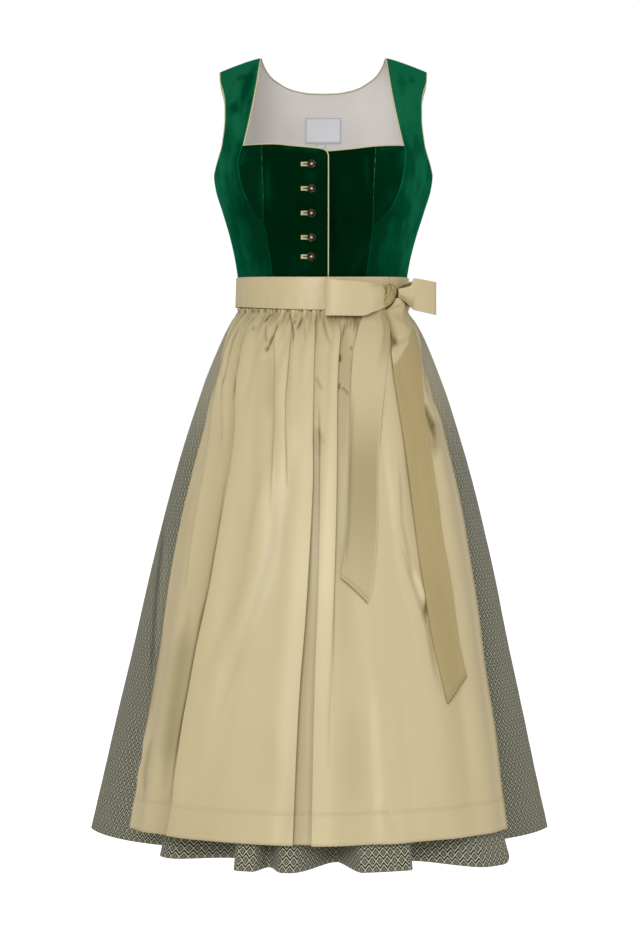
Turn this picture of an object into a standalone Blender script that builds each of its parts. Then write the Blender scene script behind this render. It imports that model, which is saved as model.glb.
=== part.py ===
"""Dirndl dress: velvet bodice, gathered skirt, satin apron tied in a bow.

Metres, +Z up. The origin lies between the tops of the two shoulder straps,
where the wearer's shoulders carry the dress. The front faces -Y, +X is the
wearer's left. Angles run round the body from the front centre (0) over the
wearer's left side (90) to the back (180). Heights are measured from the straps' top.
"""
import math
from collections import namedtuple

import bmesh
import bpy
from mathutils import Matrix, Vector

# Cloth walls and the space between sewn pieces
VELVET_WALL = 0.0016
BACK_VELVET_WALL = 0.0012
LINING_WALL = 0.0010
SKIRT_WALL = 0.0012
SATIN_WALL = 0.0011
BAND_WALL = 0.0014
LABEL_WALL = 0.0008
SEAM = 0.0003
LINING_INSET = 0.0020        # from the velvet's outer face to the lining's, with room at the shoulder
PIPING_RADIUS = 0.0009

SEAM_COLUMN = 0.025          # share of a panel's width that its narrow column along a seam takes

# Heights of the cut
UNDERARM = -0.173
SHOULDER_ROUND = -0.125      # the straps begin to round over the shoulder here
WAIST_SEAM = -0.336
BAND_TOP = -0.3195
BAND_BOTTOM = -0.3663
SKIRT_HEM = -1.118
APRON_HEM = -1.082

CUP_POINT = -0.2440          # the lower end of the bust cups
CUP_POINT_WIDTH = 0.0012
SHOULDER_SEAM_HALF = 0.00045
SIDE_SEAM_HALF = 0.0004      # each panel stops this short of the side seams' plane

# Shoulder strap
STRAP_INNER = 0.091
STRAP_OUTER = 0.149
STRAP_SLOPE = 0.019          # how far the strap falls from its inner to its outer edge
SHOULDER_POWER = 2.4         # a higher power gives a flatter chest and a tighter shoulder

# Bust
BUST_DEPTH = 0.020
BUST_HEIGHT = -0.168
BUST_SPREAD = 0.046
BUST_ANGLE = 38.0
BUST_ANGLE_SPREAD = 18.0

# Front closing: the wearer's right front lies over the left front
FRONT_EDGE = 0.006
UNDERLAP_END = -0.020
UNDERLAP_INSET = 0.0023
UNDERLAP_START = 0.010
UNDERLAP_RAMP = 0.014

BUTTON_ACROSS = -0.0165
BUTTON_RADIUS = 0.0063
BUTTON_HEIGHTS = (-0.165, -0.199, -0.233, -0.267, -0.294)

LABEL_HALF_WIDTH = 0.0275
LABEL_TOP = -0.076
LABEL_BOTTOM = -0.1143
SIZE_TAB_LEFT = -0.011
SIZE_TAB_RIGHT = 0.004
SIZE_TAB_BOTTOM = -0.122

# Gathers
APRON_GATHERS = 26
SKIRT_GATHERS = 22           # in each half of the skirt
SIDE_CROWDING = 0.25         # how much closer the skirt's gathers lie at the front and back
GATHER_END = -0.52
GATHER_FULL = -0.395          # the gathers are deepest here
SKIRT_GATHER_DEPTHS = (0.0014, 0.0030)      # at the band, and where deepest
APRON_GATHER_DEPTHS = (0.0012, 0.0034)
FOLDS_GROWN = -0.43          # the apron's folds are full from here down

BAND_SEAM_ANGLE = 50.0       # the band's ties cross here, under the knot

Section = namedtuple("Section", "height half_width front_depth back_depth")
BODICE_SECTIONS = (
    Section(-0.336, 0.1215, 0.0940, 0.0850),
    Section(-0.293, 0.1280, 0.0975, 0.0880),
    Section(-0.262, 0.1350, 0.1000, 0.0905),
    Section(-0.226, 0.1455, 0.1045, 0.0940),
    Section(-0.191, 0.1560, 0.1090, 0.0970),
    Section(-0.173, 0.1583, 0.1100, 0.0980),
    Section(-0.130, 0.1583, 0.1090, 0.0980),
    Section(0.000, 0.1583, 0.1060, 0.0970),
)
BAND_SECTIONS = (
    Section(-0.3663, 0.1275, 0.1022, 0.0925),
    Section(-0.3195, 0.1262, 0.1003, 0.0910),
)
SKIRT_SECTIONS = (
    Section(-1.118, 0.3330, 0.3200, 0.2980),
    Section(-1.034, 0.3130, 0.2920, 0.2780),
    Section(-0.9455, 0.2930, 0.2720, 0.2580),
    Section(-0.8585, 0.2730, 0.2520, 0.2380),
    Section(-0.7425, 0.2480, 0.2265, 0.2120),
    Section(-0.6265, 0.2200, 0.1970, 0.1820),
    Section(-0.525, 0.1902, 0.1665, 0.1520),
    Section(-0.447, 0.1620, 0.1380, 0.1250),
    Section(-0.405, 0.1435, 0.1210, 0.1080),
    Section(-0.385, 0.1330, 0.1100, 0.0980),
    Section(-0.3665, 0.1225, 0.0985, 0.0890),
    Section(-0.3363, 0.1205, 0.0965, 0.0870),
)

# Distances from the centre line of each seam and edge on the bodice
SeamLine = namedtuple("SeamLine", "height right left")
PRINCESS_SEAM = (
    SeamLine(-0.336, 0.0710, 0.0610),
    SeamLine(-0.293, 0.0765, 0.0655),
    SeamLine(-0.262, 0.0810, 0.0690),
    SeamLine(-0.242, 0.0860, 0.0705),
    SeamLine(-0.210, 0.0850, 0.0705),
    SeamLine(-0.175, 0.0860, 0.0715),
    SeamLine(-0.137, 0.0870, 0.0740),
)
CUP_SEAM = (
    SeamLine(-0.250, 0.0845, 0.0725),
    SeamLine(-0.2335, 0.0968, 0.0890),
    SeamLine(-0.217, 0.1061, 0.0998),
    SeamLine(-0.196, 0.1148, 0.1086),
    SeamLine(-0.173, 0.1196, 0.1135),
    SeamLine(-0.160, 0.1207, 0.1152),
    SeamLine(-0.137, 0.1150, 0.1150),
)
# Shares across half of the back and up its height, used by its edges too
BACK_SHARES = (0.0, 0.13, 0.26, 0.38, 0.48, 0.52, 0.56, 0.6, 0.74, 0.87, 0.98, 1.0)
BACK_RISES = (0.0, 0.3, 0.6, 0.85, 1.0, 1.2, 1.4, 1.6, 1.75, 1.87, 1.95, 1.99, 2.0)
BACK_SCOOP = 0.079           # the neckline scoops to here, then runs up the strap's edge
BACK_SCOOP_SHARE = 0.48      # the share of half the back that ends under the scoop
BACK_STRAP_SHARE = 0.6       # from here out the back ends on the shoulder
# The front panels share these rows, so that their seams follow one line
FRONT_ROWS = (-0.336, -0.305, -0.274, -0.250, -0.2335, -0.217, -0.196, -0.173, -0.160, -0.1485, -0.137)
Edge = namedtuple("Edge", "height across")
STRAP_INNER_EDGE = (
    Edge(-0.137, 0.1150), Edge(-0.124, 0.1115), Edge(-0.102, 0.1065), Edge(-0.072, 0.1005),
    Edge(-0.032, 0.0940), Edge(0.0, STRAP_INNER),
)
FRONT_ARMHOLE = (
    Edge(-0.173, 0.1583), Edge(-0.162, 0.1550), Edge(-0.129, 0.1445), Edge(-0.090, 0.1404),
    Edge(-0.065, 0.1405), Edge(-0.040, 0.1435), Edge(-0.020, 0.1480), Edge(0.0, STRAP_OUTER),
)
BACK_ARMHOLE = (
    Edge(-0.173, 0.1583), Edge(-0.162, 0.1560), Edge(-0.129, 0.1480), Edge(-0.090, 0.1440),
    Edge(-0.065, 0.1430), Edge(-0.040, 0.1455), Edge(-0.020, 0.1490), Edge(0.0, STRAP_OUTER),
)
NeckPoint = namedtuple("NeckPoint", "across height")
RIGHT_NECKLINE = (
    NeckPoint(-0.1150, -0.1370), NeckPoint(-0.0735, -0.1370), NeckPoint(-0.0450, -0.1396),
    NeckPoint(-0.0200, -0.1420), NeckPoint(-0.0035, -0.1440), NeckPoint(0.0030, -0.1465),
    NeckPoint(0.0060, -0.1520),
)
LEFT_NECKLINE = (
    NeckPoint(-0.0200, -0.1480), NeckPoint(0.0075, -0.1470), NeckPoint(0.0340, -0.1449),
    NeckPoint(0.0700, -0.1405), NeckPoint(0.1020, -0.1380), NeckPoint(0.1150, -0.1370),
)
BACK_NECKLINE = (
    NeckPoint(0.0000, -0.0430), NeckPoint(0.0210, -0.0425), NeckPoint(0.0400, -0.0400),
    NeckPoint(0.0550, -0.0360), NeckPoint(0.0660, -0.0300), NeckPoint(0.0755, -0.0230),
    NeckPoint(0.0830, -0.0145), NeckPoint(0.0880, -0.0060), NeckPoint(STRAP_INNER, 0.0),
)

# Skirt folds: valleys that deepen from their top down to the hem, with unlike flanks
Valley = namedtuple("Valley", "angle depth before after top lean")
SKIRT_VALLEYS = (
    Valley(-60, 0.076, 32, 22, -0.50, -12),
    Valley(-26.4, 0.078, 22, 7, -0.60, 0),
    Valley(-13.3, 0.034, 2, 4.5, -0.80, 0),
    Valley(5.2, 0.075, 12, 4.3, -0.58, 0),
    Valley(26.6, 0.056, 5.5, 16, -0.62, 0),
    Valley(66, 0.084, 16, 28, -0.52, 10),
    Valley(108, 0.050, 12, 15, -0.60, 0),
    Valley(131, 0.066, 15, 8, -0.54, -3),
    Valley(153, 0.048, 8, 12, -0.66, 0),
    Valley(177, 0.070, 15, 10, -0.56, 2),
    Valley(201, 0.052, 8, 12, -0.62, 0),
    Valley(226, 0.068, 12, 13, -0.55, 3),
    Valley(250, 0.050, 13, 10, -0.62, 0),
)
SKIRT_VALLEY_POWER = 1.25
SKIRT_SWAY = -0.0048         # how far the hem hangs to the wearer's right
HEM_DIP = Valley(48, 0.0085, 24, 6, -0.95, 0)

# Apron folds: crests given at four heights, steep on one flank where the cloth folds over
CREST_HEIGHTS = (-0.400, -0.640, -0.900, -1.082)
Crest = namedtuple("Crest", "angles rises before after")
APRON_CRESTS = (
    Crest((-60, -52, -50, -48), (0.002, 0.004, 0.004, 0.003), 5.0, 6.0),
    Crest((-45, -35.5, -39, -39), (0.003, 0.010, 0.010, 0.002), 1.6, 19.0),
    Crest((-28, -20, -22, -24), (0.003, 0.004, 0.003, 0.002), 6.0, 8.0),
    Crest((-16, -19, -27, -32), (0.003, 0.003, 0.003, 0.002), 5.0, 8.0),
    Crest((-6, -5, -7.2, -8.5), (0.003, 0.008, 0.008, 0.006), 17.0, 1.6),
    Crest((9, 5.2, 0.6, 0.2), (0.002, 0.004, 0.007, 0.009), 2.0, 14.0),
    Crest((27.5, 27.5, 31, 33), (0.003, 0.006, 0.006, 0.003), 5.0, 10.0),
    Crest((60, 50, 46, 44), (0.004, 0.006, 0.004, 0.003), 6.0, 6.0),
)
ApronEdge = namedtuple("ApronEdge", "height left right")
APRON_EDGES = (
    ApronEdge(-1.082, -52.8, 51.5),
    ApronEdge(-0.9455, -54.5, 53.2),
    ApronEdge(-0.8585, -55.5, 55.4),
    ApronEdge(-0.7425, -58.3, 57.6),
    ApronEdge(-0.6265, -60.0, 60.3),
    ApronEdge(-0.525, -60.8, 61.5),
    ApronEdge(-0.447, -63.3, 61.0),
    ApronEdge(-0.405, -68.0, 66.0),
    ApronEdge(-0.385, -72.6, 72.0),
    ApronEdge(-0.3665, -79.0, 77.0),
)

# Ribbon tails: the angles of both edges at each height, and the height of the cut end
TailEdge = namedtuple("TailEdge", "height left right")
LEFT_TAIL = (
    TailEdge(-0.3668, 30.0, 42.5),
    TailEdge(-0.3800, 22.3, 40.0),
    TailEdge(-0.3980, 17.9, 36.5),
    TailEdge(-0.4280, 14.2, 31.5),
    TailEdge(-0.4680, 12.0, 26.7),
    TailEdge(-0.5140, 10.8, 23.3),
    TailEdge(-0.5840, 9.1, 20.1),
    TailEdge(-0.6860, 7.3, 17.4),
    TailEdge(-0.7370, 5.6, 15.6),
    TailEdge(-0.7710, 4.4, 13.4),
)
RIGHT_TAIL = (
    TailEdge(-0.3668, 43.5, 64.0),
    TailEdge(-0.4040, 36.4, 57.0),
    TailEdge(-0.4440, 32.6, 51.0),
    TailEdge(-0.4680, 32.2, 47.8),
    TailEdge(-0.5270, 32.0, 44.8),
    TailEdge(-0.6030, 31.8, 43.4),
    TailEdge(-0.7150, 31.7, 42.2),
    TailEdge(-0.7690, 32.0, 42.4),
    TailEdge(-0.8230, 32.9, 42.4),
    TailEdge(-0.8740, 34.3, 43.5),
    TailEdge(-0.9080, 35.3, 44.5),
)
# How much higher than the tip each corner of a slanting cut end lies: left corner, right corner
LEFT_TAIL_CUT = (0.034, 0.0)
RIGHT_TAIL_CUT = (0.0, 0.034)
TAIL_LIFT = 0.0025           # the tails leave the knot this far above the apron
TAIL_REACH = 0.03            # a tail clears the folds this far above and below each of its rows

# Bow loops: the ribbon's route from the knot and back to it, and its two edges
LoopLeft = namedtuple("LoopLeft", "angle low_outward high_outward low high")
BOW_LOOP_LEFT = (
    LoopLeft(42.4, 0.0044, 0.0030, -0.3580, -0.3400),
    LoopLeft(38.0, 0.0070, 0.0015, -0.3620, -0.3360),
    LoopLeft(30.0, 0.0130, 0.0013, -0.3690, -0.3300),
    LoopLeft(20.0, 0.0115, 0.0013, -0.3760, -0.3270),
    LoopLeft(9.0, 0.0098, 0.0013, -0.3768, -0.3255),
    LoopLeft(3.0, 0.0100, 0.0022, -0.3768, -0.3247),
    LoopLeft(1.2, 0.0130, 0.0058, -0.3769, -0.3247),
    LoopLeft(3.0, 0.0156, 0.0096, -0.3769, -0.3247),
    LoopLeft(9.0, 0.0180, 0.0130, -0.3772, -0.3250),
    LoopLeft(20.0, 0.0190, 0.0150, -0.3776, -0.3262),
    LoopLeft(29.0, 0.0185, 0.0150, -0.3730, -0.3280),
    LoopLeft(36.0, 0.0130, 0.0115, -0.3660, -0.3330),
    LoopLeft(41.1, 0.0090, 0.0084, -0.3580, -0.3400),
)
LoopRight = namedtuple("LoopRight", "across depth low high")
BOW_LOOP_RIGHT = (
    LoopRight(0.0998, 0.0661, -0.3530, -0.3390),
    LoopRight(0.1060, 0.0578, -0.3560, -0.3350),
    LoopRight(0.1160, 0.0480, -0.3600, -0.3300),
    LoopRight(0.1270, 0.0435, -0.3640, -0.3280),
    LoopRight(0.1430, 0.0395, -0.3700, -0.3270),
    LoopRight(0.1590, 0.0370, -0.3740, -0.3262),
    LoopRight(0.1640, 0.0400, -0.3747, -0.3262),
    LoopRight(0.1600, 0.0450, -0.3745, -0.3260),
    LoopRight(0.1460, 0.0560, -0.3715, -0.3255),
    LoopRight(0.1290, 0.0650, -0.3640, -0.3260),
    LoopRight(0.1150, 0.0680, -0.3570, -0.3310),
    LoopRight(0.1063, 0.0698, -0.3530, -0.3370),
)
KNOT_CENTRE = Vector((0.0975, -0.0752, -0.3485))
KNOT_HALF_SIZE = (0.0090, 0.0074, 0.0178)
KNOT_TURN = 40.6             # turns the knot to face outward from the waist
KNOT_LEAN = 14.0

COLOURS = {
    "velvet_middle": (0.004, 0.022, 0.008, 1.0),
    "velvet_side": (0.008, 0.085, 0.036, 1.0),
    "lining": (0.52, 0.49, 0.46, 1.0),
    "label": (0.60, 0.60, 0.61, 1.0),
    "satin": (0.60, 0.50, 0.30, 1.0),
    "satin_shade": (0.42, 0.34, 0.17, 1.0),
    "jacquard": (0.19, 0.19, 0.14, 1.0),
    "piping": (0.55, 0.46, 0.24, 1.0),
    "bronze": (0.12, 0.075, 0.04, 1.0),
}


def clear_scene():
    for old in list(bpy.data.objects):
        bpy.data.objects.remove(old, do_unlink=True)


def between(start, end, share):
    return start + (end - start) * share


def spread(start, end, count):
    """Evenly spaced values from start to end, count steps."""
    return [between(start, end, step / count) for step in range(count + 1)]


def panel_shares(count):
    """Shares across a sewn panel, with a narrow column along each seam to square its wall."""
    return [0.0, SEAM_COLUMN] + spread(0.0, 1.0, count)[1:-1] + [1.0 - SEAM_COLUMN, 1.0]


def read_table(table, key, column, value):
    """One column of a table at a value of its key column, straight between rows."""
    rows = sorted(table, key=lambda row: getattr(row, key))
    value = min(max(value, getattr(rows[0], key)), getattr(rows[-1], key))
    for low, high in zip(rows, rows[1:]):
        if value <= getattr(high, key):
            share = (value - getattr(low, key)) / (getattr(high, key) - getattr(low, key))
            return between(getattr(low, column), getattr(high, column), share)
    return getattr(rows[-1], column)


def at_height(table, column, height):
    return read_table(table, "height", column, height)


def wrapped(angle):
    """An angle brought between -180 and 180."""
    return (angle + 180.0) % 360.0 - 180.0


def ramp(value, start, end):
    """A smooth step from 0 at start to 1 at end."""
    share = min(max((value - start) / (end - start), 0.0), 1.0)
    return share * share * (3.0 - 2.0 * share)


def oval_point(sections, angle, height, outward=0.0):
    """A point on an oval tube given by its sections."""
    side = math.radians(angle)
    depth_column = "front_depth" if math.cos(side) > 0 else "back_depth"
    half_width = at_height(sections, "half_width", height) + outward
    depth = at_height(sections, depth_column, height) + outward
    return Vector((half_width * math.sin(side), -depth * math.cos(side), height))


def side_trim(sections, column, height):
    """The angle that keeps a panel's edge just short of the side seams' plane."""
    return math.degrees(SIDE_SEAM_HALF / at_height(sections, column, height))


def angle_at(across, height):
    """The angle, from the front centre, of a point this far across on the bodice."""
    half_width = at_height(BODICE_SECTIONS, "half_width", height)
    return math.degrees(math.asin(min(max(across / half_width, -1.0), 1.0)))


def bust_rise(angle, height):
    up = (height - BUST_HEIGHT) / BUST_SPREAD
    round_body = (abs(angle) - BUST_ANGLE) / BUST_ANGLE_SPREAD
    return BUST_DEPTH * math.exp(-up * up - round_body * round_body)


def bodice_point(angle, level, inset=0.0):
    """A point of the bodice; level is its height before the straps' outward slope."""
    angle = wrapped(angle)
    point = oval_point(BODICE_SECTIONS, angle, level, -inset)
    if abs(angle) < 90.0:
        point.y -= bust_rise(angle, level)
    rise = max((level - SHOULDER_ROUND) / -SHOULDER_ROUND, 0.0) ** SHOULDER_POWER
    point.y *= max(1.0 - rise, 0.0) ** (1.0 / SHOULDER_POWER)
    outer_share = max((abs(point.x) - STRAP_INNER) / (STRAP_OUTER - STRAP_INNER), 0.0)
    point.z = level - STRAP_SLOPE * outer_share ** 1.2 * ramp(level, SHOULDER_ROUND, 0.0) - inset * rise
    return point


def shoulder_levels(count):
    """Levels up the rounding shoulder, closer together towards its top."""
    turns = [math.radians(90.0 * step / count) for step in range(1, count + 1)]
    return [SHOULDER_ROUND * (1.0 - math.sin(turn) ** (2.0 / SHOULDER_POWER)) for turn in turns]


def add_material(thing, name, colour, roughness, metallic=0.0):
    material = bpy.data.materials.new(name)
    material.use_nodes = True
    shader = material.node_tree.nodes["Principled BSDF"]
    shader.inputs["Base Color"].default_value = COLOURS[colour]
    shader.inputs["Roughness"].default_value = roughness
    shader.inputs["Metallic"].default_value = metallic
    thing.data.materials.append(material)


def add_object(name, data, colour, roughness=0.8, metallic=0.0):
    thing = bpy.data.objects.new(name, data)
    bpy.data.collections["dirndl_dress"].objects.link(thing)
    add_material(thing, name, colour, roughness, metallic)
    return thing


def add_cloth(name, columns, rows, place, wall, colour, side=-1.0):
    """A grid moved to place(column, row) and given a wall; side -1 thickens inward."""
    mesh = bpy.data.meshes.new(name)
    grid = bmesh.new()
    bmesh.ops.create_grid(grid, x_segments=len(columns) - 1, y_segments=len(rows) - 1, size=0.5)
    for vertex in grid.verts:
        column = columns[round((vertex.co.x + 0.5) * (len(columns) - 1))]
        row = rows[round((vertex.co.y + 0.5) * (len(rows) - 1))]
        vertex.co = place(column, row)
    grid.to_mesh(mesh)
    grid.free()
    mesh.shade_smooth()
    cloth = add_object(name, mesh, colour)
    solidify = cloth.modifiers.new("wall", "SOLIDIFY")
    solidify.thickness = wall
    solidify.offset = side
    return cloth


def add_tube(name, points, radius, closed, colour):
    curve = bpy.data.curves.new(name, "CURVE")
    curve.dimensions = "3D"
    curve.bevel_depth = radius
    curve.bevel_resolution = 1
    curve.use_fill_caps = not closed
    line = curve.splines.new("POLY")
    line.points.add(len(points) - 1)
    for place, point in zip(line.points, points):
        place.co = (point.x, point.y, point.z, 1.0)
    line.use_cyclic_u = closed
    return add_object(name, curve, colour)


# --- Bodice ---------------------------------------------------------------------------

def strap_rows():
    return [SHOULDER_ROUND] + shoulder_levels(6)


def seam_across(level, side):
    """The inner edge of a side front: princess seam, then cup seam, then strap edge."""
    name = "left" if side > 0 else "right"
    if level > STRAP_INNER_EDGE[0].height:
        return at_height(STRAP_INNER_EDGE, "across", level)
    if level >= CUP_SEAM[0].height:
        return max(at_height(CUP_SEAM, name, level), at_height(PRINCESS_SEAM, name, level))
    return at_height(PRINCESS_SEAM, name, level)


def side_front_point(share, level, side):
    """share runs from the inner seam (0) to the side seam or armhole (1)."""
    inner = angle_at(seam_across(level, side) + SEAM / 2, level)
    outer = 90.0 - side_trim(BODICE_SECTIONS, "front_depth", level)
    if level > UNDERARM:
        outer = min(outer, angle_at(at_height(FRONT_ARMHOLE, "across", level), level))
    point = bodice_point(side * between(inner, outer, share), level)
    if level == 0.0:
        point.y = -SHOULDER_SEAM_HALF
    return point


def add_side_front(name, side):
    levels = list(FRONT_ROWS) + strap_rows()
    shares = panel_shares(5) if side > 0 else panel_shares(5)[::-1]
    add_cloth(name, shares, levels, lambda share, level: side_front_point(share, level, side),
              VELVET_WALL, "velvet_side")


def front_level(row, top):
    """A row's height on a front panel; the last two rows close up to the neckline."""
    if row >= FRONT_ROWS[-2]:
        fitted = (row - FRONT_ROWS[-3]) / (FRONT_ROWS[-1] - FRONT_ROWS[-3])
        return between(FRONT_ROWS[-3], top, fitted)
    return row


def cup_point(share, row, side):
    """share runs from the princess seam to the cup seam."""
    name, neckline = ("left", LEFT_NECKLINE) if side > 0 else ("right", RIGHT_NECKLINE)

    def across(level):
        inner = at_height(PRINCESS_SEAM, name, level) + SEAM / 2
        outer = at_height(CUP_SEAM, name, level) - SEAM / 2
        return between(inner, max(outer, inner + CUP_POINT_WIDTH), share)

    top = read_table(neckline, "across", "height", side * across(FRONT_ROWS[-1]))
    level = front_level(row, top)
    return bodice_point(side * angle_at(across(level), level), level)


def add_cup(name, side):
    levels = [CUP_POINT] + [level for level in FRONT_ROWS if level > CUP_POINT]
    shares = panel_shares(3) if side > 0 else panel_shares(3)[::-1]
    add_cloth(name, shares, levels, lambda share, level: cup_point(share, level, side),
              VELVET_WALL, "velvet_middle")


def right_front_point(share, row):
    """The wearer's right front: share runs from the princess seam to the closing edge."""
    seam_top = at_height(PRINCESS_SEAM, "right", FRONT_ROWS[-1])
    top = read_table(RIGHT_NECKLINE, "across", "height", between(-seam_top, FRONT_EDGE, share))
    level = front_level(row, top)
    seam = -at_height(PRINCESS_SEAM, "right", level) + SEAM / 2
    return bodice_point(angle_at(between(seam, FRONT_EDGE, share), level), level)


def underlap(across):
    """How deep the left front lies below the right front."""
    return UNDERLAP_INSET * (1.0 - ramp(across, UNDERLAP_START, UNDERLAP_START + UNDERLAP_RAMP))


def left_front_point(share, row):
    """The left front: share runs from the underlap to the princess seam."""
    seam_top = at_height(PRINCESS_SEAM, "left", FRONT_ROWS[-1])
    top = read_table(LEFT_NECKLINE, "across", "height", between(UNDERLAP_END, seam_top, share))
    level = front_level(row, top)
    seam = at_height(PRINCESS_SEAM, "left", level) - SEAM / 2
    across = between(UNDERLAP_END, seam, share)
    return bodice_point(angle_at(across, level), level, underlap(across))


def back_top(out):
    """Where a column ends at the top: along the neckline, up the strap's edge, on the shoulder."""
    strap_foot = read_table(BACK_NECKLINE, "across", "height", BACK_SCOOP)
    if out <= BACK_SCOOP_SHARE:
        across = BACK_SCOOP * out / BACK_SCOOP_SHARE
        return across, read_table(BACK_NECKLINE, "across", "height", across)
    if out < BACK_STRAP_SHARE:
        foot_turn = math.asin((1.0 - strap_foot / SHOULDER_ROUND) ** (SHOULDER_POWER / 2.0))
        risen = (out - BACK_SCOOP_SHARE) / (BACK_STRAP_SHARE - BACK_SCOOP_SHARE)
        turn = between(foot_turn, math.pi / 2, risen)
        top = SHOULDER_ROUND * (1.0 - math.sin(turn) ** (2.0 / SHOULDER_POWER))
        return read_table(BACK_NECKLINE, "height", "across", top), top
    return between(STRAP_INNER, STRAP_OUTER, (out - BACK_STRAP_SHARE) / (1.0 - BACK_STRAP_SHARE)), 0.0


def back_point(share, rise, inset=0.0):
    """share runs from side seam (-1) over the back centre (0) to side seam (1)."""
    out = abs(share)
    if rise <= 1.0:
        level = between(WAIST_SEAM, UNDERARM, rise)
        side_angle = 90.0 - side_trim(BODICE_SECTIONS, "back_depth", level)
        return bodice_point(180.0 + math.copysign(side_angle * out, share), level, inset)
    up = rise - 1.0
    across, top = back_top(out)
    level = between(UNDERARM, top, up)
    side_angle = 90.0 - side_trim(BODICE_SECTIONS, "back_depth", level)
    armhole = min(side_angle, angle_at(at_height(BACK_ARMHOLE, "across", level), level))
    top_share = angle_at(across, top) / angle_at(STRAP_OUTER, 0.0)
    angle = between(out, top_share, up) * armhole
    point = bodice_point(180.0 + math.copysign(angle, share), level, inset)
    if level == 0.0:
        point.y = SHOULDER_SEAM_HALF
    return point


def add_back(name, inset, wall, colour):
    shares = [-share for share in BACK_SHARES[:0:-1]] + list(BACK_SHARES)
    add_cloth(name, shares, BACK_RISES, lambda share, rise: back_point(share, rise, inset), wall, colour)


def inside_back_point(across, level):
    """A point on the inner face of the back lining."""
    depth = LINING_INSET + LINING_WALL + 2 * SEAM
    return bodice_point(180.0 - angle_at(across, level), level, depth)


def add_labels():
    add_cloth("neck_label", spread(-LABEL_HALF_WIDTH, LABEL_HALF_WIDTH, 6), (LABEL_BOTTOM, LABEL_TOP),
              inside_back_point, LABEL_WALL, "label", side=1.0)
    add_cloth("size_tab", (SIZE_TAB_LEFT, SIZE_TAB_RIGHT), (SIZE_TAB_BOTTOM, LABEL_BOTTOM - SEAM),
              inside_back_point, LABEL_WALL, "label", side=1.0)


# --- Piping and buttons ---------------------------------------------------------------

def piping_path(edge, wall, closed=False):
    """A route just past an edge, level with the middle of the wall it finishes.

    edge is a list of pairs: a point on the edge, and one a little inside the panel.
    """
    last = len(edge) - 1
    inside = Vector((0.0, 0.0, -0.15))
    route = []
    for index, (point, inner) in enumerate(edge):
        after = edge[(index + 1) % len(edge) if closed else min(index + 1, last)][0]
        before = edge[index - 1 if closed else max(index - 1, 0)][0]
        along = (after - before).normalized()
        outward = point - inner
        outward = (outward - along * outward.dot(along)).normalized()
        face = along.cross(outward)
        inside.x = point.x / 2
        if face.dot(point - inside) < 0.0:
            face.negate()
        route.append(point + outward * (PIPING_RADIUS + SEAM) - face * wall / 2)
    return route


def neckline_edge():
    """The neckline from the left front round the neck, and down the closing edge."""
    top, below = FRONT_ROWS[-1], FRONT_ROWS[-2]

    def centre(place, share):
        return place(share, top), place(share, below)

    edge = [centre(left_front_point, share) for share in panel_shares(8)[3:-1]]
    edge += [(cup_point(share, top, 1.0), cup_point(share, below, 1.0)) for share in spread(0.0, 1.0, 3)]
    strap = [(0.0, row) for row in strap_rows()]
    edge += [(side_front_point(share, row, 1.0), side_front_point(share + SEAM_COLUMN, row, 1.0))
             for share, row in strap]
    neck = [share for share in BACK_SHARES if share < BACK_STRAP_SHARE]
    for share in [-share for share in reversed(neck)] + neck[1:]:
        edge.append((back_point(share, 2.0), back_point(share, 1.99)))
    edge += [(side_front_point(share, row, -1.0), side_front_point(share + SEAM_COLUMN, row, -1.0))
             for share, row in reversed(strap)]
    edge += [(cup_point(share, top, -1.0), cup_point(share, below, -1.0)) for share in spread(1.0, 0.0, 3)]
    edge += [centre(right_front_point, share) for share in panel_shares(6)[1:-1]]
    corner = right_front_point(1.0, top)
    edge.append((corner, right_front_point(1.0 - 2 * SEAM_COLUMN, below)))
    edge += [(right_front_point(1.0, row), right_front_point(1.0 - SEAM_COLUMN, row))
             for row in FRONT_ROWS[-3::-1]]
    return edge


def armhole_edge(side):
    """The armhole from the underarm up the front edge, over the shoulder and down the back."""
    rows = [row for row in FRONT_ROWS if row > UNDERARM] + strap_rows()
    below = bodice_point(side * 90.0, UNDERARM - 0.005)
    edge = [(bodice_point(side * 90.0, UNDERARM), below)]
    edge += [(side_front_point(1.0, row, side), side_front_point(1.0 - SEAM_COLUMN, row, side))
             for row in rows]
    for rise in [rise for rise in BACK_RISES if 1.0 < rise < 2.0][::-1]:
        edge.append((back_point(-side, rise), back_point(-side * (1.0 - SEAM_COLUMN), rise)))
    return edge


def add_piping():
    route = piping_path(neckline_edge(), VELVET_WALL)
    add_tube("piping_neckline", route, PIPING_RADIUS, False, "piping")
    for name, side in (("piping_armhole_left", 1.0), ("piping_armhole_right", -1.0)):
        add_tube(name, piping_path(armhole_edge(side), VELVET_WALL, closed=True), PIPING_RADIUS, True,
                 "piping")


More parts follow.
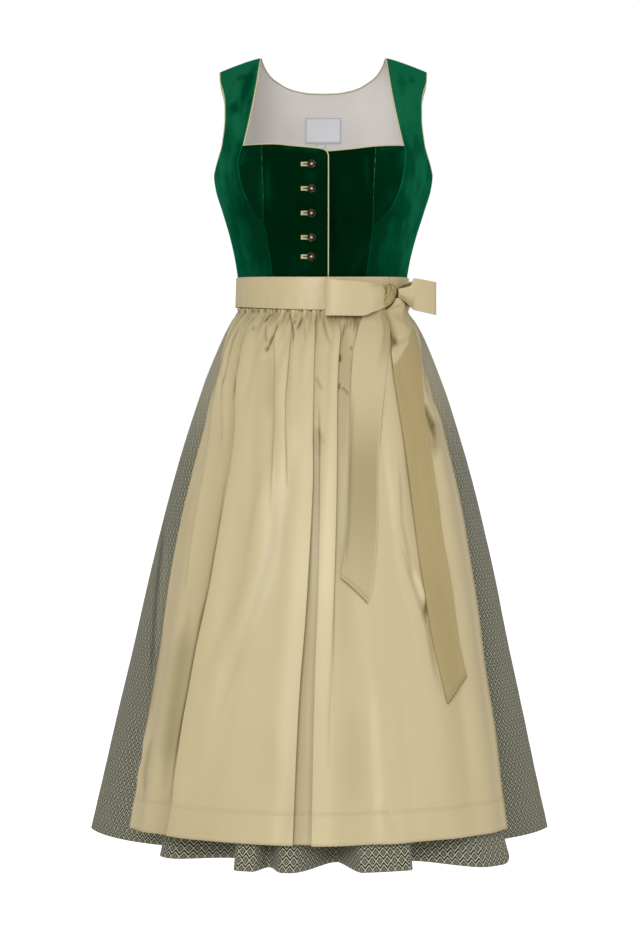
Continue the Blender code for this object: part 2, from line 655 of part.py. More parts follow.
def add_buttons():
    """Domed buttons with a raised rim and a ball in the middle, turned round their axis."""
    profile = ((0.0, 0.0), (0.0052, 0.0), (0.0063, 0.0008), (0.0063, 0.0022), (0.0054, 0.0030),
               (0.0042, 0.0022), (0.0022, 0.0022), (0.0016, 0.0040), (0.0, 0.0048))
    for number, height in enumerate(BUTTON_HEIGHTS, start=1):
        mesh = bpy.data.meshes.new(f"button_{number}")
        outline = bmesh.new()
        ring = [outline.verts.new((radius, 0.0, rise)) for radius, rise in profile]
        for start, end in zip(ring, ring[1:]):
            outline.edges.new((start, end))
        outline.to_mesh(mesh)
        outline.free()
        button = add_object(f"button_{number}", mesh, "bronze", 0.4, 0.9)
        screw = button.modifiers.new("turn", "SCREW")
        screw.axis = "Z"
        screw.steps = 12
        screw.render_steps = 12
        screw.use_merge_vertices = True
        screw.merge_threshold = 0.0001
        screw.use_normal_calculate = True
        angle = angle_at(BUTTON_ACROSS, height)
        seat = bodice_point(angle, height)
        along = bodice_point(angle + 1.0, height) - bodice_point(angle - 1.0, height)
        upward = bodice_point(angle, height + 0.004) - bodice_point(angle, height - 0.004)
        face = along.cross(upward).normalized()
        button.location = seat + face * SEAM * 2
        button.rotation_mode = "QUATERNION"
        button.rotation_quaternion = face.to_track_quat("Z", "Y")


# --- Skirt and apron ------------------------------------------------------------------

def fold_shape(offset, before, after):
    """A rounded fold, 1 at its line and 0 beyond a width of its own on each flank."""
    reach = offset / (before if offset < 0.0 else after)
    return max(1.0 - reach * reach, 0.0) ** 2


def valley_depth(angle, height):
    depth = 0.0
    for valley in SKIRT_VALLEYS:
        if height >= valley.top:
            continue
        grown = ((valley.top - height) / (valley.top - SKIRT_HEM)) ** SKIRT_VALLEY_POWER
        offset = wrapped(angle - valley.angle - valley.lean * (grown - 1.0))
        depth += valley.depth * grown * fold_shape(offset, valley.before, valley.after)
    return depth


def gather_size(height, depths):
    """Gathers start at the band, are deepest a little below it and die out lower down."""
    opening = between(depths[0], depths[1], ramp(-height, -BAND_BOTTOM, -GATHER_FULL))
    return opening * (1.0 - ramp(-height, -GATHER_FULL, -GATHER_END))


def skirt_form(angle, height, outward):
    """The skirt's plain flared form, moved outward along its own plan."""
    point = oval_point(SKIRT_SECTIONS, angle, height)
    point += Vector((point.x, point.y, 0.0)).normalized() * outward
    point.x += SKIRT_SWAY * ramp(-height, 0.50, -SKIRT_HEM)
    return point


def skirt_point(angle, height, pucker):
    inward = valley_depth(angle, height) + gather_size(height, SKIRT_GATHER_DEPTHS) * pucker
    point = skirt_form(angle, height, -inward)
    if height < HEM_DIP.top:
        point.z -= HEM_DIP.depth * fold_shape(wrapped(angle - HEM_DIP.angle), HEM_DIP.before, HEM_DIP.after)
    return point


def add_skirt_half(name, middle, depth_column):
    """Half of the skirt, from one side seam to the other; every second column is a gather."""
    last = SKIRT_GATHERS * 2
    columns = [0, 0.15] + list(range(1, last)) + [last - 0.15, last]
    heights = [section.height for section in SKIRT_SECTIONS]

    def place(column, height):
        share = between(-1.0, 1.0, column / columns[-1])
        half_turn = 90.0 - side_trim(SKIRT_SECTIONS, depth_column, height)
        angle = middle + half_turn * ((1.0 - SIDE_CROWDING) * share + SIDE_CROWDING * share ** 3)
        return skirt_point(angle, height, 1 - round(column) % 2)

    add_cloth(name, columns, heights, place, SKIRT_WALL, "jacquard")


def four_heights(values, height):
    """A value given at the four crest heights, read at any height."""
    if height >= CREST_HEIGHTS[0]:
        return values[0]
    for index in range(3):
        if height >= CREST_HEIGHTS[index + 1]:
            share = (CREST_HEIGHTS[index] - height) / (CREST_HEIGHTS[index] - CREST_HEIGHTS[index + 1])
            return between(values[index], values[index + 1], share)
    return values[3]


def crest_rise(angle, height):
    rise = 0.0
    for crest in APRON_CRESTS:
        offset = angle - four_heights(crest.angles, height)
        rise += four_heights(crest.rises, height) * fold_shape(offset, crest.before, crest.after)
    return rise * ramp(-height, -BAND_BOTTOM, -FOLDS_GROWN)


def apron_point(angle, height, pucker=0.0, outward=0.0):
    gap = SATIN_WALL + SEAM * 3
    gathers = gather_size(height, APRON_GATHER_DEPTHS) * pucker
    return skirt_form(angle, height, gap + crest_rise(angle, height) + gathers + outward)


def add_apron():
    columns = list(range(APRON_GATHERS * 3 + 1))
    puckers = (0.0, 0.9, 0.7)
    heights = [APRON_HEM, -1.034, -0.9455, -0.8585, -0.7425, -0.6265, -0.525, -0.447, -0.405, -0.385,
               BAND_BOTTOM - SEAM]

    def place(column, height):
        left = at_height(APRON_EDGES, "left", height)
        right = at_height(APRON_EDGES, "right", height)
        return apron_point(between(left, right, column / columns[-1]), height, puckers[column % 3])

    add_cloth("apron", columns, heights, place, SATIN_WALL, "satin")


def add_apron_band():
    """The waistband, open by a seam under the knot, where its ties cross."""
    trim = side_trim(BAND_SECTIONS, "front_depth", BAND_TOP)
    angles = spread(BAND_SEAM_ANGLE - 360.0 + trim, BAND_SEAM_ANGLE - trim, 60)
    add_cloth("apron_band", angles, (BAND_BOTTOM, BAND_TOP),
              lambda angle, height: oval_point(BAND_SECTIONS, angle, height), BAND_WALL, "satin")


# --- Bow ------------------------------------------------------------------------------

def tail_clearance(table, height):
    """How far a tail stands off the apron's plain form to pass over its folds."""
    left = at_height(table, "left", height)
    right = at_height(table, "right", height)
    folds = max(crest_rise(angle, height) for angle in spread(left - 1.0, right + 1.0, 16))
    return folds + gather_size(height, APRON_GATHER_DEPTHS)


def add_tail(name, table, cut, colour):
    """A ribbon tail over the apron, its end cut at a slant."""
    end = table[-1].height
    start = table[0].height

    def place(share, drop):
        low = end + between(cut[0], cut[1], share)
        height = between(start, low, drop)
        left = at_height(table, "left", height)
        right = at_height(table, "right", height)
        angle = between(left, right, share)
        near = (height - TAIL_REACH, height, height + TAIL_REACH)
        clearance = max(tail_clearance(table, level) for level in near)
        raised = clearance - crest_rise(angle, height) + SATIN_WALL + SEAM
        raised += TAIL_LIFT * (1.0 - ramp(-height, -BAND_BOTTOM, -GATHER_FULL))
        return apron_point(angle, height, 0.0, raised)

    add_cloth(name, spread(0.0, 1.0, 4), spread(1.0, 0.0, 13), place, SATIN_WALL, colour)


def add_bow():
    def left_loop(row, rise):
        outward = between(row.high_outward, row.low_outward, (1.0 - rise) ** 2)
        return oval_point(BAND_SECTIONS, row.angle, between(row.low, row.high, rise), outward)

    def right_loop(row, rise):
        return Vector((row.across, -row.depth, between(row.low, row.high, rise)))

    add_cloth("bow_loop_left", BOW_LOOP_LEFT, (0.0, 0.25, 0.5, 1.0), left_loop, SATIN_WALL, "satin",
              side=0.0)
    add_cloth("bow_loop_right", BOW_LOOP_RIGHT, (0.0, 0.5, 1.0), right_loop, SATIN_WALL, "satin",
              side=0.0)
    mesh = bpy.data.meshes.new("bow_knot")
    ball = bmesh.new()
    bmesh.ops.create_uvsphere(ball, u_segments=14, v_segments=9, radius=1.0)
    bmesh.ops.scale(ball, vec=KNOT_HALF_SIZE, verts=ball.verts)
    bmesh.ops.rotate(ball, matrix=Matrix.Rotation(math.radians(KNOT_LEAN), 3, "Y"), verts=ball.verts)
    bmesh.ops.rotate(ball, matrix=Matrix.Rotation(math.radians(KNOT_TURN), 3, "Z"), verts=ball.verts)
    ball.to_mesh(mesh)
    ball.free()
    mesh.shade_smooth()
    knot = add_object("bow_knot", mesh, "satin_shade")
    knot.location = KNOT_CENTRE
    add_tail("bow_tail_left", LEFT_TAIL, LEFT_TAIL_CUT, "satin")
    add_tail("bow_tail_right", RIGHT_TAIL, RIGHT_TAIL_CUT, "satin_shade")


def build():
    clear_scene()
    dress = bpy.data.collections.new("dirndl_dress")
    bpy.context.scene.collection.children.link(dress)
    add_side_front("side_front_right", -1.0)
    add_side_front("side_front_left", 1.0)
    add_cup("cup_right", -1.0)
    add_cup("cup_left", 1.0)
    add_cloth("centre_front_right", panel_shares(6), FRONT_ROWS, right_front_point,
              VELVET_WALL, "velvet_middle")
    add_cloth("centre_front_left", panel_shares(8), FRONT_ROWS, left_front_point,
              VELVET_WALL, "velvet_middle")
    add_back("bodice_back", 0.0, BACK_VELVET_WALL, "velvet_side")
    add_back("back_lining", LINING_INSET, LINING_WALL, "lining")
    add_labels()
    add_piping()
    add_buttons()
    add_skirt_half("skirt_front", 0.0, "front_depth")
    add_skirt_half("skirt_back", 180.0, "back_depth")
    add_apron()
    add_apron_band()
    add_bow()


build()
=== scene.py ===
import math

import bmesh
import bpy
import numpy as np
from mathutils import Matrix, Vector


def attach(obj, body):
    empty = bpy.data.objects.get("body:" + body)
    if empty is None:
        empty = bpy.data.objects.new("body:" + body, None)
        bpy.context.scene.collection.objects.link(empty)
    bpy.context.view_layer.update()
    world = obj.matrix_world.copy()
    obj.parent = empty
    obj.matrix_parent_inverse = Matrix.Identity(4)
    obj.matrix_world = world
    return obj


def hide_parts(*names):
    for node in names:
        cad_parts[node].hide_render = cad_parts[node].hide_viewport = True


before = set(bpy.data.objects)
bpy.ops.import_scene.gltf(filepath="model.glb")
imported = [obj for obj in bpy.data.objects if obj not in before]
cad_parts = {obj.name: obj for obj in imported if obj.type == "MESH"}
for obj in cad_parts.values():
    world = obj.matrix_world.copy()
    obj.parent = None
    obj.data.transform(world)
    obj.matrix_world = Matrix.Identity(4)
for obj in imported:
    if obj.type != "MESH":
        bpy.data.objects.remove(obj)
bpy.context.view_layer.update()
print("frame loaded:", len(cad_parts), "nodes")

# Metres, front towards -Y, +X to the wearer's left. Angles go round the body in degrees
# from the front centre, positive to the wearer's left. Heights are below the straps' top.


# curves and small sums

def mix(start, end, share):
    return start + (end - start) * share


def smooth(value, start, end):
    share = np.clip((value - start) / (end - start), 0.0, 1.0)
    return share * share * (3.0 - 2.0 * share)


def bell(offset, width):
    return np.exp(-(offset / width) ** 2)


def curveThrough(points):
    # a smooth curve y(x) through (x, y) points that never swings past them
    x, y = np.array(sorted(points), float).T
    step = np.diff(x)
    slope = np.diff(y) / step
    lean = np.zeros(len(x))
    lean[0], lean[-1] = slope[0], slope[-1]
    agree = slope[:-1] * slope[1:] > 0
    total = np.where(agree, slope[:-1] + slope[1:], 1.0)
    lean[1:-1] = np.where(agree, 2.0 * slope[:-1] * slope[1:] / total, 0.0)

    def at(value):
        value = np.clip(value, x[0], x[-1])
        i = np.clip(np.searchsorted(x, value, side="right") - 1, 0, len(step) - 1)
        t = (value - x[i]) / step[i]
        s = 1.0 - t
        start = s * s * ((1.0 + 2.0 * t) * y[i] + t * step[i] * lean[i])
        return start + t * t * ((3.0 - 2.0 * t) * y[i + 1] - s * step[i] * lean[i + 1])

    return at


def stepped(start, *legs):
    # places from the start on through each leg's end; a leg's count takes in both its ends
    places = [[start]]
    for end, count in legs:
        places.append(np.linspace(start, end, count)[1:])
        start = end
    return np.concatenate(places)


def columnsOf(rows, *picked):
    # one curve for each picked column, read against the first column
    return [curveThrough([(row[0], row[k]) for row in rows]) for k in picked]


def foldShape(offset, before, after):
    # a rounded fold, 1 at its line and 0 past its own width on each side
    reach = offset / np.where(offset < 0.0, before, after)
    return np.maximum(1.0 - reach * reach, 0.0) ** 2


def wrapped(angle):
    return (angle + 180.0) % 360.0 - 180.0


def unit(vectors):
    return vectors / np.maximum(np.linalg.norm(vectors, axis=-1, keepdims=True), 1e-12)


def ovalPoint(shape, angle, height, outward=0.0):
    side = np.radians(angle)
    width, front, back = (curve(height) for curve in shape)
    depth = np.where(np.cos(side) > 0.0, front, back) + outward
    place = np.broadcast_arrays((width + outward) * np.sin(side), -depth * np.cos(side), height)
    return np.stack(place, axis=-1)


# making pieces

def newPiece(name, mesh, material, body="root"):
    piece = bpy.data.objects.new(name, mesh)
    bpy.context.scene.collection.objects.link(piece)
    for finish in material if isinstance(material, (list, tuple)) else [material]:
        piece.data.materials.append(finish)
    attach(piece, body)
    return piece


def addTone(mesh, tone):
    # how much lighter or darker the cloth lies at each place: mostly painted light and shade
    shade = mesh.attributes.new("tone", "FLOAT", "POINT")
    shade.data.foreach_set("value", tone.astype(np.float32))


def makeCloth(name, points, wall, material, side=-1.0, uv=None, tone=None):
    # a grid moved onto points[row, column], with a wall; rows go up, columns to the wearer's left
    rows, columns = points.shape[:2]
    grid = bmesh.new()
    bmesh.ops.create_grid(grid, x_segments=columns - 1, y_segments=rows - 1, size=0.5)
    mesh = bpy.data.meshes.new(name)
    grid.to_mesh(mesh)
    grid.free()
    flat = np.empty(len(mesh.vertices) * 3, np.float32)
    mesh.vertices.foreach_get("co", flat)
    flat = flat.reshape(-1, 3)
    column = np.rint((flat[:, 0] + 0.5) * (columns - 1)).astype(int)
    row = np.rint((flat[:, 1] + 0.5) * (rows - 1)).astype(int)
    mesh.vertices.foreach_set("co", points[row, column].astype(np.float32).ravel())
    if uv is None:
        uv = clothLengths(points)
    corners = np.empty(len(mesh.loops), np.int32)
    mesh.loops.foreach_get("vertex_index", corners)
    layer = mesh.uv_layers.new(name="cloth")
    layer.data.foreach_set("uv", uv[row, column][corners].astype(np.float32).ravel())
    if tone is not None:
        addTone(mesh, np.broadcast_to(tone, (rows, columns))[row, column])
    mesh.shade_smooth()
    piece = newPiece(name, mesh, material)
    thick = piece.modifiers.new("wall", "SOLIDIFY")
    thick.thickness = wall
    thick.offset = side
    if len(piece.data.materials) > 1:
        thick.material_offset = 1
    return piece


def clothLengths(points):
    # lengths along the cloth itself in metres, from the middle column and the lowest row
    middle = points.shape[1] // 2
    across = np.linalg.norm(np.diff(points, axis=1), axis=-1)
    across = np.concatenate([np.zeros((len(points), 1)), np.cumsum(across, axis=1)], axis=1)
    across -= across[:, middle:middle + 1]
    up = np.linalg.norm(np.diff(points, axis=0), axis=-1).mean(axis=1)
    up = np.concatenate([[0.0], np.cumsum(up)])
    return np.stack([across, np.broadcast_to(up[:, None], across.shape)], axis=-1)


def clothArea(points):
    a, b = points[1:, :-1] - points[:-1, :-1], points[:-1, 1:] - points[:-1, :-1]
    return float(np.linalg.norm(np.cross(a, b), axis=-1).sum())


def addSheet(name, points, wall, material, held, restsOn, nodes, slot, **more):
    # a cloth with the flat cut of what is modelled: its mean width and length, measured along it
    piece = makeCloth(name, points, wall, material, **more)
    area = clothArea(points)
    length = float(np.linalg.norm(np.diff(points, axis=0), axis=-1).sum(axis=0).mean())
    length = max(length, 0.01)     # the size tab's cut goes on under the label
    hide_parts(*nodes)
    print("cloth:", piece.name, round(area / length, 3), "x", round(length, 3))


def newBall(segments, rings):
    # a ball to be shaped, and how far up (-1 to 1) and round each of its places lies
    ball = bmesh.new()
    bmesh.ops.create_uvsphere(ball, u_segments=segments, v_segments=rings, radius=1.0)
    flat = np.array([vertex.co for vertex in ball.verts])
    up = np.arcsin(np.clip(flat[:, 2], -1.0, 1.0)) / (math.pi / 2.0)
    return ball, up, np.arctan2(flat[:, 1], flat[:, 0])


def shapedBall(name, ball, places):
    for vertex, place in zip(ball.verts, places):
        vertex.co = place
    bmesh.ops.recalc_face_normals(ball, faces=ball.faces)
    mesh = bpy.data.meshes.new(name)
    ball.to_mesh(mesh)
    ball.free()
    mesh.shade_smooth()
    return mesh


def makeTube(name, routes, radius, material, closed=False, sides=3, swell=None):
    # one curve object with a tube along each route; swell is the share of the radius at each place
    curve = bpy.data.curves.new(name, "CURVE")
    curve.dimensions = "3D"
    curve.bevel_depth = radius
    curve.bevel_resolution = sides
    curve.use_fill_caps = not closed
    for route in routes:
        line = curve.splines.new("POLY")
        line.points.add(len(route) - 1)
        flat = np.concatenate([route, np.ones((len(route), 1))], axis=1)
        line.points.foreach_set("co", flat.astype(np.float32).ravel())
        if swell is not None:
            line.points.foreach_set("radius", swell)
        line.use_cyclic_u = closed
    piece = bpy.data.objects.new(name, curve)
    bpy.context.scene.collection.objects.link(piece)
    curve.materials.append(material)
    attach(piece, "root")
    return piece


# finishes

class Finish:
    # a material whose nodes are added by short calls
    def __init__(self, name, roughness, specular=0.5, sheen=0.0, sheenRoughness=0.5,
                 sheenTint=(1.0, 1.0, 1.0), metallic=0.0, coat=0.0, anisotropic=0.0):
        self.material = bpy.data.materials.new(name)
        self.material.use_nodes = True
        self.tree = self.material.node_tree
        self.shader = self.tree.nodes["Principled BSDF"]
        settings = {"Roughness": roughness, "Specular IOR Level": specular, "Sheen Weight": sheen,
                    "Sheen Roughness": sheenRoughness, "Sheen Tint": (*sheenTint, 1.0),
                    "Metallic": metallic, "Coat Weight": coat, "Anisotropic": anisotropic}
        for socket, value in settings.items():
            self.shader.inputs[socket].default_value = value

    def put(self, kind, sockets=None, **settings):
        node = self.tree.nodes.new(kind)
        for key, value in settings.items():
            setattr(node, key, value)
        for key, value in (sockets or {}).items():
            self.wire(value, node.inputs[key])
        return node

    def wire(self, value, socket):
        if isinstance(value, bpy.types.NodeSocket):
            self.tree.links.new(value, socket)
        else:
            socket.default_value = value

    def sum(self, operation, first, second=0.0, third=0.0):
        node = self.put("ShaderNodeMath", {0: first, 1: second}, operation=operation)
        if operation in ("MULTIPLY_ADD", "PINGPONG", "WRAP", "COMPARE"):
            self.wire(third, node.inputs[2])
        return node.outputs[0]

    def place(self, uv=False, scale=(1.0, 1.0, 1.0), turn=0.0):
        source = self.put("ShaderNodeTexCoord").outputs["UV" if uv else "Object"]
        return self.put("ShaderNodeMapping", {"Vector": source, "Scale": scale,
                                              "Rotation": (0.0, 0.0, turn)}).outputs[0]

    def noise(self, where, scale, detail=2.0, rough=0.5):
        node = self.put("ShaderNodeTexNoise", {"Vector": where, "Scale": scale, "Detail": detail,
                                               "Roughness": rough})
        return node.outputs["Fac"]

    def tone(self):
        # how much lighter (above 0) or darker (below 0) the cloth lies there: mostly painted light and shade
        return self.put("ShaderNodeAttribute", attribute_name="tone").outputs["Fac"]

    def ramp(self, value, start, end, low=0.0, high=1.0):
        return self.put("ShaderNodeMapRange", {"Value": value, "From Min": start, "From Max": end,
                                               "To Min": low, "To Max": high},
                        interpolation_type="SMOOTHSTEP").outputs[0]

    def blend(self, share, first, second, mode="MIX"):
        node = self.put("ShaderNodeMix", data_type="RGBA", blend_type=mode)
        self.wire(share, node.inputs[0])
        for value, socket in ((first, node.inputs[6]), (second, node.inputs[7])):
            self.wire((*value, 1.0) if isinstance(value, tuple) else value, socket)
        return node.outputs[2]

    def colour(self, value):
        self.wire((*value, 1.0) if isinstance(value, tuple) else value, self.shader.inputs["Base Color"])

    def roughness(self, value):
        self.wire(value, self.shader.inputs["Roughness"])

    def bump(self, height, distance, strength=1.0):
        node = self.put("ShaderNodeBump", {"Height": height, "Distance": distance, "Strength": strength})
        self.tree.links.new(node.outputs[0], self.shader.inputs["Normal"])


velvetFinish = {
    "sheen": 0.25, "sheenRoughness": 0.4, "sheenTint": (0.0, 0.5, 0.26),
    "cloudScale": 17.0, "pileScale": 1500.0, "pileHeight": 0.0003,
}


def velvet(name, deep, middle, light, clouds):
    # short pile: dark where it is looked into, lighter where it is seen aslant, with random clouds in its nap
    # and the painted sheen and shade carried by the tone attribute
    v = velvetFinish
    f = Finish(name, 0.95, 0.0, v["sheen"], v["sheenRoughness"], v["sheenTint"])
    soft = f.noise(f.place(scale=(1.0, 1.0, 0.6)), v["cloudScale"], 3.0, 0.6)
    strokes = f.noise(f.place(scale=(1.0, 1.0, 0.2), turn=0.3), v["cloudScale"] * 3.4, 2.0, 0.5)
    napAndSheen = f.sum("MULTIPLY_ADD", strokes, 0.3, f.sum("MULTIPLY", soft, 0.7))
    napAndSheen = f.sum("MULTIPLY_ADD", f.sum("SUBTRACT", napAndSheen, 0.5), clouds, 0.5)
    aslant = f.put("ShaderNodeLayerWeight", {"Blend": 0.3}).outputs["Facing"]
    napAndSheen = f.sum("MULTIPLY_ADD", f.ramp(aslant, 0.15, 0.95), 0.35, napAndSheen)
    # the tone attribute's painted sheen and shade
    napAndSheen = f.sum("MULTIPLY_ADD", f.tone(), 0.3, napAndSheen)
    first = f.blend(f.ramp(napAndSheen, 0.22, 0.52), deep, middle)
    tone = f.blend(f.ramp(napAndSheen, 0.5, 0.9), first, light)
    pile = f.noise(f.place(), v["pileScale"], 2.0, 0.7)
    f.colour(f.blend(f.ramp(pile, 0.3, 0.7, 0.0, 0.22), tone, (0.0, 0.0, 0.0)))
    f.bump(pile, v["pileHeight"], 0.5)
    return f.material


satinFinish = {
    "threads": 1500.0, "slubs": 26.0, "weaveHeight": 0.00006, "roughness": 0.4,
    # lit scales the base colour for painted highlights, and the last colour is the painted shade in creases
    "sheen": 0.12, "lit": 1.22, "creaseShade": (0.185, 0.14, 0.042),
}


def satin(name, base, shade, bright=None):
    # fine crosswise threads with a few thicker ones, and a soft broad gloss
    v = satinFinish
    f = Finish(name, v["roughness"], 0.4, v["sheen"], 0.35, (1.0, 0.88, 0.62))
    weft = f.noise(f.place(True, (3.0, v["threads"], 1.0)), 1.0, 1.0)
    slub = f.noise(f.place(True, (v["slubs"] * 0.3, v["slubs"] * 14.0, 1.0)), 1.0, 3.0, 0.6)
    cloud = f.noise(f.place(scale=(1.0, 1.0, 0.4)), 9.0, 2.0)
    tone = f.blend(f.ramp(cloud, 0.35, 0.7, 0.0, 0.35), base, shade)
    tone = f.blend(f.ramp(slub, 0.55, 0.8, 0.0, 0.16), tone, shade)
    tone = f.blend(f.ramp(weft, 0.3, 0.7, 0.0, 0.1), tone, shade)
    lit = bright or tuple(part * v["lit"] for part in base)     # bright is the ribbon's right side
    # where the tone attribute is above 0 it paints highlight (on the dull satin, the colour of its right side
    # instead), and below 0 it paints shade in creases
    tone = f.blend(f.tone(), tone, lit)
    f.colour(f.blend(f.sum("MULTIPLY", f.tone(), -1.0), tone, v["creaseShade"]))
    f.roughness(f.ramp(cloud, 0.3, 0.7, v["roughness"] - 0.04, v["roughness"] + 0.06))
    f.bump(f.sum("ADD", weft, f.sum("MULTIPLY", slub, 0.8)), v["weaveHeight"], 0.7)
    return f.material


jacquardFinish = {
    "width": 0.0096,          # one zigzag tooth
    "tall": 0.006,            # how high a tooth stands
    "pair": 0.005,            # between the two zigzags of a pair
    "line": 0.00092,          # half a light line
    "ground": (0.01, 0.01, 0.004), "ridge": (0.555, 0.54, 0.405), "heart": (0.235, 0.228, 0.15),
    # lit is the colour of the painted light
    "lit": (0.5, 0.44, 0.3),
    # shares of a tooth's height, and how much of the ground's colour the dot takes
    "heartFrom": 0.42, "heartTo": 0.52, "dotFrom": 0.84, "dotTo": 0.92, "dotDepth": 0.55,
    "wander": 0.0012, "relief": 0.00018,
}


def jacquard(name, tint=1.0):
    # zigzags in pairs that close into small diamonds, woven light on dark
    v = jacquardFinish
    f = Finish(name, 0.78, 0.25, 0.12, 0.5, (0.8, 0.8, 0.7))
    warp = f.noise(f.place(), 7.0, 2.0)
    wander = f.sum("MULTIPLY", f.sum("SUBTRACT", warp, 0.5), v["wander"])
    split = f.put("ShaderNodeSeparateXYZ", {0: f.place(True)})
    across = f.sum("ADD", split.outputs[0], wander)
    up = f.sum("ADD", split.outputs[1], wander)
    tooth = f.sum("PINGPONG", across, v["width"] / 2)
    tall, pair = v["tall"], v["pair"]
    rise = f.sum("MULTIPLY_ADD", tooth, tall / (v["width"] / 2), -tall / 2)
    first = f.sum("PINGPONG", f.sum("ADD", f.sum("SUBTRACT", up, rise), pair / 2), tall + pair)
    second = f.sum("PINGPONG", f.sum("ADD", f.sum("ADD", up, rise), -tall - pair / 2), tall + pair)
    nearFirst = f.sum("ABSOLUTE", f.sum("SUBTRACT", first, pair / 2))
    nearSecond = f.sum("ABSOLUTE", f.sum("SUBTRACT", second, pair / 2))
    near = f.sum("MINIMUM", nearFirst, nearSecond)
    line = f.ramp(near, v["line"] * 0.7, v["line"] * 1.5, 1.0, 0.0)
    heart = f.ramp(near, tall * v["heartFrom"], tall * v["heartTo"])
    dot = f.ramp(near, tall * v["dotFrom"], tall * v["dotTo"], 0.0, v["dotDepth"])
    ground = f.blend(heart, v["ground"], v["heart"])
    ground = f.blend(dot, ground, v["ground"])
    threads = f.noise(f.place(True, (1.0, 0.35, 1.0)), 2600.0, 1.0)
    tone = f.blend(line, ground, v["ridge"])
    tone = f.blend(f.ramp(threads, 0.35, 0.65, 0.0, 0.15), tone, v["ground"])
    # the tone attribute paints light above 0 and shade below 0
    tone = f.blend(f.tone(), tone, v["lit"])
    tone = f.blend(f.sum("MULTIPLY", f.tone(), -1.0), tone, (0.0, 0.0, 0.0))
    f.colour(f.blend(1.0 - tint, tone, (0.0, 0.0, 0.0)) if tint < 1.0 else tone)
    f.bump(f.sum("MULTIPLY_ADD", threads, 0.4, line), v["relief"], 0.8)
    return f.material


def plainWeave(name, base, shade, threads=1900.0, height=0.00007, roughness=0.85, drawn=(0.3, 0.29, 0.36)):
    f = Finish(name, roughness, 0.2, 0.1, 0.5)
    where = f.place(True)
    warp = f.noise(f.place(True, (threads, 40.0, 1.0)), 1.0, 0.0)
    weft = f.noise(f.place(True, (40.0, threads, 1.0)), 1.0, 0.0)
    cloud = f.noise(where, 22.0, 3.0, 0.6)
    weave = f.sum("ADD", warp, weft)
    tone = f.blend(f.ramp(cloud, 0.3, 0.75, 0.0, 0.6), base, shade)
    tone = f.blend(f.ramp(weave, 0.7, 1.3, 0.0, 0.18), tone, shade)
    # below 0 the tone attribute darkens towards drawn: painted shade on the lining, the lines of a label's
    # border
    f.colour(f.blend(f.sum("MULTIPLY", f.tone(), -1.0), tone, drawn))
    f.bump(weave, height, 0.6)
    return f.material


def threadFinish(name, base, shade, roughness=0.55, scale=900.0):
    f = Finish(name, roughness, 0.35, 0.2, 0.4)
    strands = f.noise(f.place(), scale, 2.0)
    f.colour(f.blend(f.ramp(strands, 0.3, 0.7), base, shade))
    f.bump(strands, 0.00015, 0.6)
    return f.material


def oldBronze(name, base, worn):
    f = Finish(name, 0.4, 0.5, metallic=1.0)
    patina = f.noise(f.place(), 420.0, 4.0, 0.65)
    f.colour(f.blend(f.ramp(patina, 0.42, 0.66), base, worn))
    f.roughness(f.ramp(patina, 0.3, 0.7, 0.3, 0.5))
    f.bump(patina, 0.00012, 0.5)
    return f.material


# three copies of one velvet, darkest at the centre front and lightest at the sides; the sides' lighter
# colours are partly painted sheen
velvetMiddle = velvet("velvetMiddle", (0.0001, 0.0085, 0.0018), (0.0002, 0.017, 0.0048),
                      (0.0004, 0.06, 0.022), 0.9)
velvetCup = velvet("velvetCup", (0.0001, 0.0135, 0.0038), (0.0002, 0.026, 0.0085), (0.0004, 0.075, 0.028),
                   1.0)
velvetSide = velvet("velvetSide", (0.0003, 0.036, 0.013), (0.0006, 0.066, 0.026), (0.008, 0.15, 0.065), 1.7)
liningCotton = plainWeave("liningCotton", (0.88, 0.84, 0.795), (0.82, 0.78, 0.745))
labelSatin = plainWeave("labelSatin", (0.82, 0.82, 0.85), (0.76, 0.76, 0.8), 2600.0, 0.00005, 0.55)
satinLight, satinShade = (0.64, 0.53, 0.306), (0.545, 0.442, 0.236)
apronSatin = satin("apronSatin", satinLight, satinShade)
bowSatin = satin("bowSatin", satinLight, satinShade)
dullSatin = satin("dullSatin", (0.474, 0.366, 0.164), (0.405, 0.31, 0.131), satinLight)
jacquardCloth = jacquard("jacquardCloth")
jacquardReverse = jacquard("jacquardReverse", 0.7)
pipingSatin = threadFinish("pipingSatin", (0.68, 0.62, 0.36), (0.57, 0.51, 0.27), 0.45, 1300.0)
paleThread = threadFinish("paleThread", (0.66, 0.62, 0.36), (0.5, 0.46, 0.24), 0.5, 1500.0)
stitchThread = threadFinish("stitchThread", (0.66, 0.56, 0.36), (0.56, 0.47, 0.29), 0.5, 1500.0)
bronze = oldBronze("bronze", (0.028, 0.018, 0.012), (0.15, 0.105, 0.068))
brightBronze = oldBronze("brightBronze", (0.62, 0.56, 0.48), (0.9, 0.86, 0.78))
print("finishes made")


# bodice form

